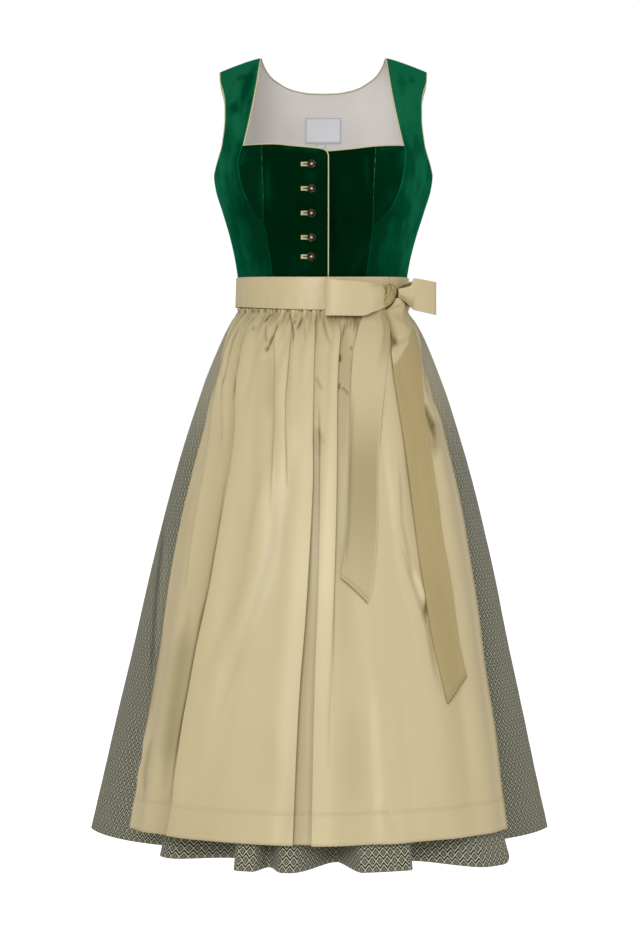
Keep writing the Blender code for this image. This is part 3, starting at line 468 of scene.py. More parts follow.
bodiceForm = {
    # height, half width, depth in front, depth behind
    "sections": (
        (-0.336, 0.1215, 0.094, 0.085), (-0.293, 0.128, 0.0975, 0.088), (-0.262, 0.135, 0.1, 0.0905),
        (-0.226, 0.1455, 0.1045, 0.094), (-0.191, 0.156, 0.109, 0.097), (-0.173, 0.1583, 0.11, 0.098),
        (-0.13, 0.1583, 0.109, 0.098), (0.0, 0.1583, 0.106, 0.097)),
    "bustDepth": 0.02, "bustHeight": -0.168, "bustSpread": 0.046, "bustAngle": 38.0, "bustRound": 18.0,
    "shoulderRound": -0.125, "shoulderPower": 2.4, "strapInner": 0.091, "strapOuter": 0.149,
    "strapSlope": 0.019, "strapLow": 0.002, "underarm": -0.173, "waist": -0.336, "seamGap": 0.00005,
    "seamRoll": 0.0011,
    "leftWaist": 0.022,        # how much narrower the waist is on the wearer's left
    "sideGap": 0.0004, "shoulderGap": 0.00045,      # from a seam's middle to each edge there
    "frontTop": -0.137,        # the level of the front's top edge
    "fitFrom": -0.16, "fitLength": 0.023,           # where its rows start to close up to the neckline
    "cupFoot": -0.252,         # where the cup's seam leaves the princess seam
    # height, distance from the centre on the wearer's right, and on the left
    "princess": (
        (-0.336, 0.071, 0.061), (-0.293, 0.0765, 0.0655), (-0.262, 0.081, 0.069), (-0.242, 0.086, 0.0705),
        (-0.21, 0.085, 0.0705), (-0.175, 0.086, 0.0715), (-0.137, 0.087, 0.074)),
    "cupSeam": (
        (-0.252, 0.0834, 0.0698), (-0.247, 0.0848, 0.0744), (-0.24, 0.0914, 0.0822),
        (-0.2335, 0.0968, 0.089), (-0.217, 0.1061, 0.0998), (-0.196, 0.1148, 0.1086),
        (-0.173, 0.1196, 0.1135), (-0.16, 0.1207, 0.1152), (-0.137, 0.115, 0.115)),
    "strapEdge": (
        (-0.137, 0.115), (-0.124, 0.1115), (-0.102, 0.1065), (-0.072, 0.1005), (-0.032, 0.094),
        (0.0, 0.091)),
    "armholeFront": (
        (-0.173, 0.1583), (-0.162, 0.155), (-0.129, 0.1445), (-0.09, 0.1404), (-0.065, 0.1405),
        (-0.04, 0.1435), (-0.02, 0.148), (0.0, 0.149)),
    "armholeBack": (
        (-0.173, 0.1583), (-0.162, 0.156), (-0.129, 0.148), (-0.09, 0.144), (-0.065, 0.143),
        (-0.04, 0.1455), (-0.02, 0.149), (0.0, 0.149)),
    "necklineRight": (
        (-0.115, -0.137), (-0.0735, -0.137), (-0.045, -0.1396), (-0.02, -0.142), (-0.0035, -0.144),
        (0.003, -0.1465), (0.006, -0.152)),
    "necklineLeft": (
        (-0.02, -0.148), (0.0075, -0.147), (0.034, -0.1449), (0.07, -0.1405), (0.102, -0.138),
        (0.115, -0.137)),
    "necklineBack": (
        (0.0, -0.043), (0.021, -0.0425), (0.04, -0.04), (0.055, -0.036), (0.066, -0.03), (0.0755, -0.023),
        (0.083, -0.0145), (0.088, -0.006), (0.091, 0.0)),
}
b = bodiceForm
bodiceShape = columnsOf(b["sections"], 1, 2, 3)
princess = dict(zip((-1, 1), columnsOf(b["princess"], 1, 2)))
cupSeam = dict(zip((-1, 1), columnsOf(b["cupSeam"], 1, 2)))
strapEdge = curveThrough(b["strapEdge"])
armholeFront, armholeBack = curveThrough(b["armholeFront"]), curveThrough(b["armholeBack"])
neckline = {-1: curveThrough(b["necklineRight"]), 1: curveThrough(b["necklineLeft"])}
backNeckline = curveThrough(b["necklineBack"])
backNeckAcross = curveThrough([(height, across) for across, height in b["necklineBack"]])


def angleAt(across, height):
    return np.degrees(np.arcsin(np.clip(across / bodiceShape[0](height), -1.0, 1.0)))


def bodicePoint(angle, level, outward=0.0):
    # level is the height before the straps slope outward
    angle, level, outward = np.broadcast_arrays(wrapped(angle), level, outward)
    point = ovalPoint(bodiceShape, angle, level, outward).copy()
    up = (level - b["bustHeight"]) / b["bustSpread"]
    aside = (np.abs(angle) - b["bustAngle"]) / b["bustRound"]
    bust = b["bustDepth"] * np.exp(-up * up - aside * aside)
    point[..., 1] -= np.where(np.abs(angle) < 90.0, bust, 0.0)
    narrower = b["leftWaist"] * smooth(-level, 0.22, -b["waist"])
    point[..., 0] *= 1.0 - np.where(point[..., 0] > 0.0, narrower, 0.0)
    rise = np.maximum((level - b["shoulderRound"]) / -b["shoulderRound"], 0.0) ** b["shoulderPower"]
    point[..., 1] *= np.maximum(1.0 - rise, 0.0) ** (1.0 / b["shoulderPower"])
    outer = np.maximum((np.abs(point[..., 0]) - b["strapInner"]) / (b["strapOuter"] - b["strapInner"]), 0.0)
    slope = b["strapSlope"] * outer ** 1.2 * smooth(level, b["shoulderRound"], 0.0)
    slope += b["strapLow"] * smooth(level, -0.03, 0.0)
    point[..., 2] = level - slope + outward * rise
    return point


def faceDirections(points):
    # outward directions of a grid whose rows go up and columns to the wearer's left
    across = np.gradient(points, axis=1)
    up = np.gradient(points, axis=0)
    return unit(np.cross(across, up))


def creases(across, height, lines):
    # soft dents and ridges along lines: x, z to x, z, their width and how far they stand out
    total = np.zeros(np.broadcast(across, height).shape)
    for x1, z1, x2, z2, width, rise in lines:
        dx, dz = x2 - x1, z2 - z1
        length = math.hypot(dx, dz)
        along = ((across - x1) * dx + (height - z1) * dz) / length ** 2
        off = ((across - x1) * dz - (height - z1) * dx) / length
        ends = smooth(along, -0.12, 0.25) * (1.0 - smooth(along, 0.75, 1.12))
        total += rise * ends * bell(off, width)
    return total


def nearLines(across, height, marks):
    # dents with painted shade and light along bent lines: the line's places, width, how far it stands out,
    # tone
    rise = np.zeros(np.broadcast(across, height).shape)
    tone = np.zeros(rise.shape)
    for line, width, out, light in marks:
        away, along = np.full(rise.shape, 1.0), np.zeros(rise.shape)
        steps = np.linalg.norm(np.diff(np.array(line), axis=0), axis=1)
        passed = np.concatenate([[0.0], np.cumsum(steps)]) / steps.sum()
        for k, ((x1, z1), (x2, z2)) in enumerate(zip(line, line[1:])):
            dx, dz = x2 - x1, z2 - z1
            run = np.clip(((across - x1) * dx + (height - z1) * dz) / (dx * dx + dz * dz), 0.0, 1.0)
            off = np.hypot(across - x1 - run * dx, height - z1 - run * dz)
            along = np.where(off < away, mix(passed[k], passed[k + 1], run), along)
            away = np.minimum(away, off)
        fade = 0.35 + 0.65 * smooth(along, 0.0, 0.25) * (1.0 - smooth(along, 0.75, 1.0))
        shape = bell(away, width * fade) * fade
        rise += out * shape
        tone += light * shape
    return rise, tone


def rollSeams(points, start=True, end=True, radius=None):
    # turns a sewn panel's side edges inward, so that a fine groove lies along each seam
    radius = radius or b["seamRoll"]
    faces = faceDirections(points)
    lengths = np.linalg.norm(np.diff(points, axis=1), axis=-1)
    run = np.concatenate([np.zeros((len(points), 1)), np.cumsum(lengths, axis=1)], axis=1)
    inset = np.zeros(run.shape)
    for wanted, distance in ((start, run), (end, run[:, -1:] - run)):
        if wanted:
            left = np.clip(radius - distance, 0.0, radius)
            inset = np.maximum(inset, radius - np.sqrt(np.maximum(radius ** 2 - left ** 2, 0.0)))
    return points - faces * inset[..., None] * 0.8


def sewnShares(count, edge=0.016):
    near = edge * np.array([0.0, 0.1, 0.3, 0.6, 1.0, 1.5])
    inner = np.linspace(2.4 * edge, 1.0 - 2.4 * edge, count)
    return np.concatenate([near, inner, 1.0 - near[::-1]])


# bodice panels

velvetPanels = {
    "wall": 0.0016, "backWall": 0.0012, "rows": 120, "columns": 54, "puckerDepth": 0.0004,
    "frontEdge": 0.006, "underlapEnd": -0.02, "underlapInset": 0.0023,
    "cupPoint": {-1: -0.2466, 1: -0.2516}, "cupPointWidth": 0.0002,
    # drag lines in the velvet: x, z to x, z, width, how far they stand out
    "drags": (
        (-0.088, -0.262, -0.126, -0.232, 0.005, -0.001), (-0.086, -0.285, -0.121, -0.262, 0.006, 0.0009),
        (-0.08, -0.3, -0.112, -0.318, 0.006, -0.0009), (-0.092, -0.242, -0.132, -0.205, 0.006, 0.0008),
        (0.074, -0.258, 0.118, -0.236, 0.005, -0.001), (0.07, -0.281, 0.119, -0.268, 0.006, 0.0009),
        (0.068, -0.304, 0.106, -0.316, 0.006, -0.0009), (0.08, -0.24, 0.126, -0.21, 0.006, 0.0008),
        (-0.06, -0.25, -0.028, -0.3, 0.01, -0.0008), (0.052, -0.24, 0.026, -0.296, 0.01, -0.0009),
        (-0.052, -0.17, -0.03, -0.235, 0.012, 0.0008), (0.04, -0.165, 0.03, -0.232, 0.012, 0.0008),
        (-0.13, -0.15, -0.122, -0.1, 0.006, -0.0009), (0.131, -0.146, 0.122, -0.098, 0.006, -0.0009),
        (-0.112, -0.12, -0.104, -0.06, 0.005, 0.0006), (0.113, -0.118, 0.104, -0.064, 0.005, 0.0006),
        (-0.118, -0.2, -0.14, -0.19, 0.006, -0.0008), (0.112, -0.196, 0.142, -0.182, 0.006, -0.0008)),
    "backDrags": (
        (0.03, -0.3, 0.095, -0.27, 0.008, -0.0009), (-0.036, -0.306, -0.09, -0.276, 0.008, -0.0009),
        (0.05, -0.24, 0.12, -0.214, 0.01, 0.0009), (-0.044, -0.232, -0.118, -0.206, 0.01, 0.0008),
        (0.08, -0.16, 0.126, -0.12, 0.008, -0.0009), (-0.084, -0.164, -0.122, -0.118, 0.008, -0.0008),
        (0.016, -0.262, 0.022, -0.13, 0.013, 0.0007), (-0.02, -0.284, -0.012, -0.15, 0.013, 0.0007)),
    # small puckers along the seams: side, height, reach, how deep
    "puckers": (
        (-1, -0.318, 0.012, 0.8), (-1, -0.296, 0.01, 0.6), (-1, -0.271, 0.013, 1.0),
        (-1, -0.258, 0.009, 0.9), (-1, -0.249, 0.012, 1.3), (-1, -0.241, 0.01, 1.2),
        (-1, -0.228, 0.011, 0.9), (-1, -0.209, 0.012, 0.8), (-1, -0.188, 0.01, 0.7),
        (-1, -0.171, 0.012, 0.9), (-1, -0.156, 0.009, 0.7), (1, -0.321, 0.01, 0.7), (1, -0.301, 0.012, 0.9),
        (1, -0.279, 0.011, 0.7), (1, -0.263, 0.01, 1.0), (1, -0.252, 0.012, 1.2), (1, -0.243, 0.009, 1.3),
        (1, -0.231, 0.011, 1.0), (1, -0.213, 0.011, 0.7), (1, -0.193, 0.012, 0.8), (1, -0.174, 0.01, 0.8),
        (1, -0.159, 0.01, 0.7)),
    # painted sheen and shade on the pile: x, z to x, z, width, lighter or darker
    "napAndSheen": {
        "side": (
            (-0.093, -0.022, -0.103, -0.073, 0.0047, 0.9), (-0.12, -0.097, -0.116, -0.132, 0.0065, 0.5),
            (-0.124, -0.036, -0.109, -0.034, 0.0054, -0.6), (-0.131, -0.073, -0.124, -0.088, 0.0076, -0.7),
            (-0.142, -0.036, -0.14, -0.067, 0.003, 0.3), (-0.104, -0.018, -0.136, -0.026, 0.008, 0.5),
            (-0.142, -0.142, -0.146, -0.196, 0.0086, 0.6), (-0.15, -0.181, -0.131, -0.261, 0.0054, 0.5),
            (-0.12, -0.186, -0.09, -0.244, 0.0054, -0.3), (0.094, -0.022, 0.105, -0.073, 0.0047, 0.9),
            (0.113, -0.093, 0.126, -0.14, 0.0065, 0.6), (0.118, -0.041, 0.133, -0.039, 0.0054, -0.5),
            (0.129, -0.067, 0.135, -0.084, 0.0076, -0.6), (0.139, -0.142, 0.146, -0.196, 0.0076, 0.6),
            (0.129, -0.207, 0.133, -0.231, 0.0065, 0.4), (0.081, -0.25, 0.102, -0.235, 0.0032, 0.25)),
        "middle": (
            (-0.081, -0.14, -0.001, -0.146, 0.0039, 0.6), (-0.036, -0.16, 0.003, -0.22, 0.0129, 0.35),
            (-0.023, -0.231, -0.001, -0.304, 0.0086, 0.15), (-0.081, -0.153, -0.075, -0.24, 0.0039, 0.35),
            (0.059, -0.149, 0.066, -0.24, 0.0054, 0.5), (0.012, -0.151, 0.016, -0.304, 0.0043, -0.3),
            (0.031, -0.144, 0.068, -0.14, 0.0032, 0.4)),
        "cup": (
            (-0.109, -0.142, -0.118, -0.166, 0.0054, 0.6), (-0.09, -0.142, -0.089, -0.231, 0.003, 0.25),
            (-0.103, -0.186, -0.094, -0.214, 0.0065, -0.4), (0.111, -0.14, 0.113, -0.175, 0.0054, 0.6),
            (0.077, -0.144, 0.107, -0.14, 0.0039, 0.4), (0.085, -0.175, 0.083, -0.218, 0.0065, -0.3)),
    },
    # painted sheen: lighter straps and a lighter left side than right; painted shade low on the side panels
    # towards their seams; the light along a seam is painted sheen where the pile parts
    "strapLight": 0.72, "leftLight": 0.3, "rightLight": 0.12, "waistShade": 1.5, "shadeReach": 0.02,
    "seamLight": 1.2, "seamWidth": 0.0011,      # the pile parts and lightens along a seam
}
panel = velvetPanels


def shoulderLevels(count):
    turn = np.radians(90.0) * np.arange(1, count + 1) / count
    return b["shoulderRound"] * (1.0 - np.sin(turn) ** (2.0 / b["shoulderPower"]))


def shapedVelvet(points):
    # drag lines and seam puckers on a panel of the front
    across, height = points[..., 0], points[..., 2]
    rise = creases(across, height, panel["drags"])
    for side, level, reach, depth in panel["puckers"]:
        for seam in (princess[side], cupSeam[side]):
            if seam is cupSeam[side] and level < panel["cupPoint"][side]:
                continue
            away = np.abs(across - side * seam(height)) / reach
            off = height - level
            wave = bell(off, 0.0032) - 0.6 * bell(off - 0.006, 0.003)
            rise -= panel["puckerDepth"] * depth * np.maximum(1.0 - away, 0.0) ** 2 * wave
    return points + faceDirections(points) * rise[..., None]


def seamAcross(level, side):
    seam = princess[side](level)
    inner = np.where(level >= b["cupFoot"], np.maximum(cupSeam[side](level), seam), seam)
    return np.where(level > b["frontTop"], strapEdge(level), inner)


def sideFrontPoint(share, level, side):
    inner = angleAt(seamAcross(level, side) + b["seamGap"] / 2, level)
    outer = 90.0 - np.degrees(b["sideGap"] / bodiceShape[1](level))
    outer = np.where(level > b["underarm"], np.minimum(outer, angleAt(armholeFront(level), level)), outer)
    point = bodicePoint(side * mix(inner, outer, share), level)
    point[..., 1] = np.where(level == 0.0, -b["shoulderGap"], point[..., 1])
    return point


def fittedLevel(row, top):
    # rows near the top close up to the neckline
    foot = b["fitFrom"]
    return np.where(row > foot, foot + (top - foot) * (row - foot) / b["fitLength"], row)


def cupPoint(share, row, side):
    def across(level):
        inner = princess[side](level) + b["seamGap"] / 2
        outer = cupSeam[side](level) - b["seamGap"] / 2
        return mix(inner, np.maximum(outer, inner + panel["cupPointWidth"]), share)

    level = fittedLevel(row, neckline[side](side * across(b["frontTop"])))
    return bodicePoint(side * angleAt(across(level), level), level)


def rightFrontPoint(share, row):
    level = fittedLevel(row, neckline[-1](mix(-princess[-1](b["frontTop"]), panel["frontEdge"], share)))
    seam = -princess[-1](level) + b["seamGap"] / 2
    return bodicePoint(angleAt(mix(seam, panel["frontEdge"], share), level), level)


def leftFrontPoint(share, row):
    level = fittedLevel(row, neckline[1](mix(panel["underlapEnd"], princess[1](b["frontTop"]), share)))
    across = mix(panel["underlapEnd"], princess[1](level) - b["seamGap"] / 2, share)
    under = panel["underlapInset"] * (1.0 - smooth(across, 0.01, 0.024))
    return bodicePoint(angleAt(across, level), level, -under)


# shares out from the back's centre: the neck's scoop, its turn up to the strap and the strap's top
backTopShares = {"scoop": 0.48, "turn": 0.12, "strap": 0.6, "top": 0.4, "scoopAcross": 0.079}


def backTop(out):
    v = backTopShares
    foot = 1.0 - backNeckline(v["scoopAcross"]) / b["shoulderRound"]
    start = math.asin(foot ** (b["shoulderPower"] / 2.0))
    turn = mix(start, math.pi / 2, np.clip((out - v["scoop"]) / v["turn"], 0.0, 1.0))
    rising = b["shoulderRound"] * (1.0 - np.sin(turn) ** (2.0 / b["shoulderPower"]))
    scoop = v["scoopAcross"] * np.minimum(out, v["scoop"]) / v["scoop"]
    shoulder = mix(b["strapInner"], b["strapOuter"], np.clip((out - v["strap"]) / v["top"], 0.0, 1.0))
    across = np.where(out < v["strap"], backNeckAcross(rising), shoulder)
    level = np.where(out < v["strap"], rising, 0.0)
    inScoop = out <= v["scoop"]
    return np.where(inScoop, scoop, across), np.where(inScoop, backNeckline(scoop), level)


def backPoint(share, rise, inset=0.0):
    # share runs from side seam (-1) over the back centre to side seam (1)
    share, rise = np.broadcast_arrays(share, rise)
    out = np.abs(share)
    up = np.maximum(rise - 1.0, 0.0)
    across, top = backTop(out)
    level = np.where(rise <= 1.0, mix(b["waist"], b["underarm"], rise), mix(b["underarm"], top, up))
    sideAngle = 90.0 - np.degrees(b["sideGap"] / bodiceShape[2](level))
    armhole = np.minimum(sideAngle, angleAt(armholeBack(level), level))
    topShare = angleAt(across, top) / angleAt(b["strapOuter"], 0.0)
    angle = np.where(rise <= 1.0, sideAngle * out, mix(out, topShare, up) * armhole)
    point = bodicePoint(180.0 + np.copysign(angle, share), level, -inset)
    point[..., 1] = np.where(level == 0.0, b["shoulderGap"], point[..., 1])
    return point


frontRows = np.linspace(b["waist"], b["frontTop"], panel["rows"])
strapRows = np.concatenate([frontRows[:-8], np.linspace(frontRows[-8], b["shoulderRound"], 14)[1:],
                            shoulderLevels(56)])
sewn = sewnShares(panel["columns"])


def addVelvet(name, points, material, slot, nodes, rolled, napAndSheen):
    lengths = clothLengths(points)[..., 0]
    # painted sheen and shade on the velvet, carried by the tone attribute: the marks, lighter straps and
    # sides, shade towards the seams low down, and light along the sewn edges
    light = creases(points[..., 0], points[..., 2], panel["napAndSheen"][napAndSheen])
    if napAndSheen == "side":
        light = light + panel["strapLight"] * smooth(points[..., 2], -0.165, -0.1)
        light = light + np.where(points[..., 0] > 0.0, panel["leftLight"], panel["rightLight"])
        fromSeam = np.abs(points[..., 0]) - seamAcross(points[..., 2], int(np.sign(points[0, 1, 0])))
        low = smooth(-points[..., 2], 0.185, 0.245)
        light = light - panel["waistShade"] * low * bell(fromSeam, panel["shadeReach"])
    for sewnEdge, distance in zip(rolled, (lengths - lengths[:, :1], lengths[:, -1:] - lengths)):
        if sewnEdge:
            light = light + panel["seamLight"] * bell(distance, panel["seamWidth"])
    points = rollSeams(shapedVelvet(points), *rolled)
    addSheet(name, points, panel["wall"], [material, liningCotton], "stretched", [], nodes, slot, tone=light)


for side, word in ((-1, "right"), (1, "left")):
    shares = sewn[::side]
    addVelvet("sideFront_" + word, sideFrontPoint(shares[None, :], strapRows[:, None], side), velvetSide,
              "velvet_side_" + word, ("side_front_" + word,), (True, True), "side")
    cupRows = np.linspace(panel["cupPoint"][side], b["frontTop"], 92)
    shares = sewnShares(26, 0.03)[::side]
    addVelvet("cup_" + word, cupPoint(shares[None, :], cupRows[:, None], side), velvetCup,
              "velvet_cup_" + word, ("cup_" + word,), (True, True), "cup")
addVelvet("centreFront_right", rightFrontPoint(sewn[None, :], frontRows[:, None]), velvetMiddle,
          "velvet_right_front", ("centre_front_right",), (True, False), "middle")
addVelvet("centreFront_left", leftFrontPoint(sewn[None, :], frontRows[:, None]), velvetMiddle,
          "velvet_left_front", ("centre_front_left",), (False, True), "middle")

upperRises = 1.0 - (1.0 - np.linspace(0.0, 1.0, 90)[1:]) ** 2.4     # closer together towards the straps
backRises = np.concatenate([np.linspace(0.0, 1.0, 60), 1.0 + upperRises])
turnFrom, turnTo = backTopShares["scoop"], backTopShares["strap"]
halfShares = stepped(0.0, (turnFrom, 36), (turnTo, 16), (0.985, 34), (0.995, 3), (0.998, 2), (1.0, 2))
backShares = np.concatenate([-halfShares[:0:-1], halfShares])
backVelvet = backPoint(backShares[None, :], backRises[:, None])
backRise = creases(backVelvet[..., 0], backVelvet[..., 2], panel["backDrags"])
backVelvet = backVelvet + faceDirections(backVelvet) * backRise[..., None]
addSheet("bodiceBack", backVelvet, panel["backWall"], velvetSide, "stretched", [], ("bodice_back",),
         "velvet_back")
print("bodice made")

# lining and labels

liningSizes = {
    "inset": 0.002, "wall": 0.001, "labelWall": 0.0008, "labelHalf": 0.0275, "labelTop": -0.076,
    "labelBottom": -0.1143, "tabLeft": -0.011, "tabRight": 0.004, "tabBottom": -0.122,
    "labelGap": 0.0011,        # from the lining to the middle of a label
    "shade": -0.16, "shadeFrom": 0.055, "shadeTo": 0.105,       # the lining darkens over these depths
    # x, z to x, z, width, how far they stand out
    "wrinkles": (
        (0.02, -0.15, 0.06, -0.132, 0.006, 0.0004), (-0.024, -0.14, -0.066, -0.12, 0.006, 0.0004),
        (0.045, -0.11, 0.075, -0.085, 0.005, 0.0004), (-0.048, -0.1, -0.078, -0.08, 0.005, 0.0004)),
    # a label's edge: its puff, the dent of its stitches, and the two lines of its border
    "puff": 0.0003, "dent": 0.0002, "dentIn": 0.0022, "borderIn": 0.0016,
    "lineWidth": 0.0006, "borderTone": -0.75, "edgeTone": -0.35, "edgeWidth": 0.0007,
}
lining = liningSizes
liningPoints = backPoint(backShares[None, ::2], backRises[::2, None], lining["inset"])
liningRise = creases(liningPoints[..., 0], liningPoints[..., 2], lining["wrinkles"])
liningPoints = liningPoints - faceDirections(liningPoints) * liningRise[..., None]
liningLow = smooth(-liningPoints[..., 2], lining["shadeFrom"], lining["shadeTo"])
liningLow = liningLow * (1.0 - 0.7 * smooth(np.abs(liningPoints[..., 0]), 0.045, 0.075))
addSheet("backLining", liningPoints, lining["wall"], liningCotton, "stretched", [], ("back_lining",),
         "lining", tone=lining["shade"] * liningLow)


def insidePoint(across, level):
    depth = lining["inset"] + lining["wall"] + lining["labelGap"]
    return bodicePoint(180.0 - angleAt(across, level), level, -depth)


def addLabel(name, left, right, bottom, top, node, slot):
    across = np.linspace(left, right, 130)
    points = insidePoint(across[None, :], np.linspace(bottom, top, 100)[:, None])
    edge = np.minimum(np.minimum(across - left, right - across)[None, :],
                      np.minimum(points[..., 2] - bottom, top - points[..., 2]))
    dent = bell(edge - lining["dentIn"], lining["lineWidth"])
    puff = lining["puff"] * smooth(edge, 0.0, 0.003) - lining["dent"] * dent
    points = points + np.array([0.0, -1.0, 0.0]) * puff[..., None]
    border = lining["borderTone"] * bell(edge - lining["borderIn"], lining["lineWidth"])
    border = border + lining["edgeTone"] * bell(edge, lining["edgeWidth"])
    addSheet(name, points, lining["labelWall"], labelSatin, "stretched", [], (node,), slot, side=1.0,
             tone=border)


addLabel("neckLabel", -lining["labelHalf"], lining["labelHalf"], lining["labelBottom"], lining["labelTop"],
         "neck_label", "label")
addLabel("sizeTab", lining["tabLeft"], lining["tabRight"], lining["tabBottom"],
         lining["labelBottom"] - 0.0003, "size_tab", "tab")

# piping

pipingSizes = {"radius": 0.00095, "step": 0.0011, "clear": 0.0001}


def pipingRoute(edge, inner, wall, closed=False):
    # just past an edge, level with the middle of the wall it finishes
    if closed:
        after, before = np.roll(edge, -1, axis=0), np.roll(edge, 1, axis=0)
    else:
        after = np.concatenate([edge[1:], edge[-1:]])
        before = np.concatenate([edge[:1], edge[:-1]])
    along = unit(after - before)
    outward = edge - inner
    outward = unit(outward - along * (outward * along).sum(-1, keepdims=True))
    face = np.cross(along, outward)
    inside = np.stack([edge[:, 0] / 2, np.zeros(len(edge)), np.full(len(edge), -0.15)], axis=-1)
    face *= np.where(((edge - inside) * face).sum(-1, keepdims=True) < 0.0, -1.0, 1.0)
    return edge + outward * (pipingSizes["radius"] + pipingSizes["clear"]) - face * wall / 2


def evenly(route, step, closed=False):
    # places a step apart, with the corners just softened
    if closed:
        route = np.concatenate([route, route[:1]])
    run = np.concatenate([[0.0], np.cumsum(np.linalg.norm(np.diff(route, axis=0), axis=-1))])
    at = np.linspace(0.0, run[-1], int(run[-1] / step) + 1)
    even = np.stack([np.interp(at, run, route[:, k]) for k in range(3)], axis=-1)
    for _ in range(2):
        even[1:-1] = even[1:-1] * 0.5 + (even[:-2] + even[2:]) * 0.25
    return even[:-1] if closed else even


def neckEdge():
    top, below = b["frontTop"], -0.1485
    strapLevels = np.concatenate([[b["shoulderRound"]], shoulderLevels(24)])
    parts = []
    shares = np.linspace(0.16, 0.975, 40)
    parts.append((leftFrontPoint(shares, top), leftFrontPoint(shares, below)))
    shares = np.linspace(0.02, 0.98, 12)
    parts.append((cupPoint(shares, top, 1), cupPoint(shares, below, 1)))
    parts.append((sideFrontPoint(0.0, strapLevels, 1), sideFrontPoint(0.025, strapLevels, 1)))
    neck = np.linspace(0.0, 0.595, 60)
    neck = np.concatenate([-neck[::-1], neck[1:]])
    parts.append((backPoint(neck, 2.0), backPoint(neck, 1.99)))
    back = strapLevels[::-1]
    parts.append((sideFrontPoint(0.0, back, -1), sideFrontPoint(0.025, back, -1)))
    parts.append((cupPoint(shares[::-1], top, -1), cupPoint(shares[::-1], below, -1)))
    shares = np.linspace(0.025, 0.975, 40)
    parts.append((rightFrontPoint(shares, top), rightFrontPoint(shares, below)))
    parts.append((rightFrontPoint(np.ones(1), top), rightFrontPoint(np.ones(1) - 0.05, below)))
    rows = np.linspace(b["fitFrom"], b["waist"], 60)
    parts.append((rightFrontPoint(1.0, rows), rightFrontPoint(0.975, rows)))
    return np.concatenate([part[0] for part in parts]), np.concatenate([part[1] for part in parts])


def armholeEdge(side):
    rows = np.concatenate([np.linspace(-0.171, -0.127, 20), [b["shoulderRound"]], shoulderLevels(24)])
    low = b["underarm"] - 0.005
    edge = [bodicePoint(np.full(1, side * 90.0), b["underarm"]), sideFrontPoint(1.0, rows, side)]
    inner = [bodicePoint(np.full(1, side * 90.0), low), sideFrontPoint(0.975, rows, side)]
    rises = backRises[(backRises > 1.0) & (backRises < 2.0)][::-2]
    edge.append(backPoint(-side, rises))
    inner.append(backPoint(-side * 0.975, rises))
    return np.concatenate(edge), np.concatenate(inner)


def addPiping(name, edge, inner, closed, node):
    route = evenly(pipingRoute(edge, inner, panel["wall"], closed), pipingSizes["step"], closed)
    piece = makeTube(name, [route], pipingSizes["radius"], pipingSatin, closed)
    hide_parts(node)


addPiping("pipingNeckline", *neckEdge(), False, "piping_neckline")
addPiping("pipingArmhole_left", *armholeEdge(1), True, "piping_armhole_left")
addPiping("pipingArmhole_right", *armholeEdge(-1), True, "piping_armhole_right")
print("piping made")

# buttons and buttonholes

button = {
    "across": -0.0165, "heights": (-0.165, -0.199, -0.233, -0.267, -0.294), "sides": 96,
    # radius and rise of the turned outline
    "outline": (
        (0.0, 0.0), (0.005, 0.0), (0.0059, 0.0003), (0.0063, 0.0009), (0.0064, 0.0016), (0.0062, 0.0023),
        (0.0058, 0.0028), (0.0054, 0.003), (0.005, 0.0028), (0.0047, 0.0022), (0.0042, 0.0019),
        (0.0038, 0.002), (0.0035, 0.0025), (0.0032, 0.0027), (0.0028, 0.0025), (0.0025, 0.002),
        (0.0021, 0.0021), (0.0021, 0.0028), (0.0019, 0.0036), (0.0015, 0.0043), (0.001, 0.0047),
        (0.0005, 0.00485), (0.0, 0.0049)),
    "millings": 32, "milled": 0.00022, "milledFrom": 0.0052, "milledTo": 0.006, "lift": 0.0006,
    "crown": 16,               # the bright middle starts at that ring
}
hole = {"from": -0.03, "to": -0.016, "half": 0.0019, "thread": 0.0011, "turns": 44, "yarn": 0.00042,
        "barTurns": 9.0, "barPlaces": 110}


def seatAt(across, height):
    # the velvet's face at a place on the front, with its outward, sideways and upward directions
    angle = angleAt(across, height)
    seat = bodicePoint(angle, height)
    aside = unit(bodicePoint(angle + 1.0, height) - bodicePoint(angle - 1.0, height))
    upward = unit(bodicePoint(angle, height + 0.004) - bodicePoint(angle, height - 0.004))
    face = unit(np.cross(aside, upward))
    return seat, face, aside, np.cross(face, aside)


def addButton(number, height):
    # a ball whose rings are moved onto the turned outline
    seat, face, aside, upward = seatAt(button["across"], height)
    outline = np.array(button["outline"])
    rings = len(outline) - 1
    ball, up, turn = newBall(button["sides"], rings)
    ring = np.rint((up + 1.0) / 2.0 * rings).astype(int)
    radius, rise = outline[ring].T
    rim = smooth(radius, button["milledFrom"], button["milledTo"])
    radius = radius + button["milled"] * rim * np.cos(button["millings"] * turn)
    places = (seat + face * (button["lift"] + rise)[:, None]
              + (aside * np.cos(turn)[:, None] + upward * np.sin(turn)[:, None]) * radius[:, None])
    ball.verts.index_update()
    for wall in ball.faces:
        wall.material_index = int(min(ring[vertex.index] for vertex in wall.verts) >= button["crown"])
    mesh = shapedBall("button_%d" % number, ball, places)
    piece = newPiece("bronzeButton_%d" % number, mesh, [bronze, brightBronze])
    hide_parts("button_%d" % number)


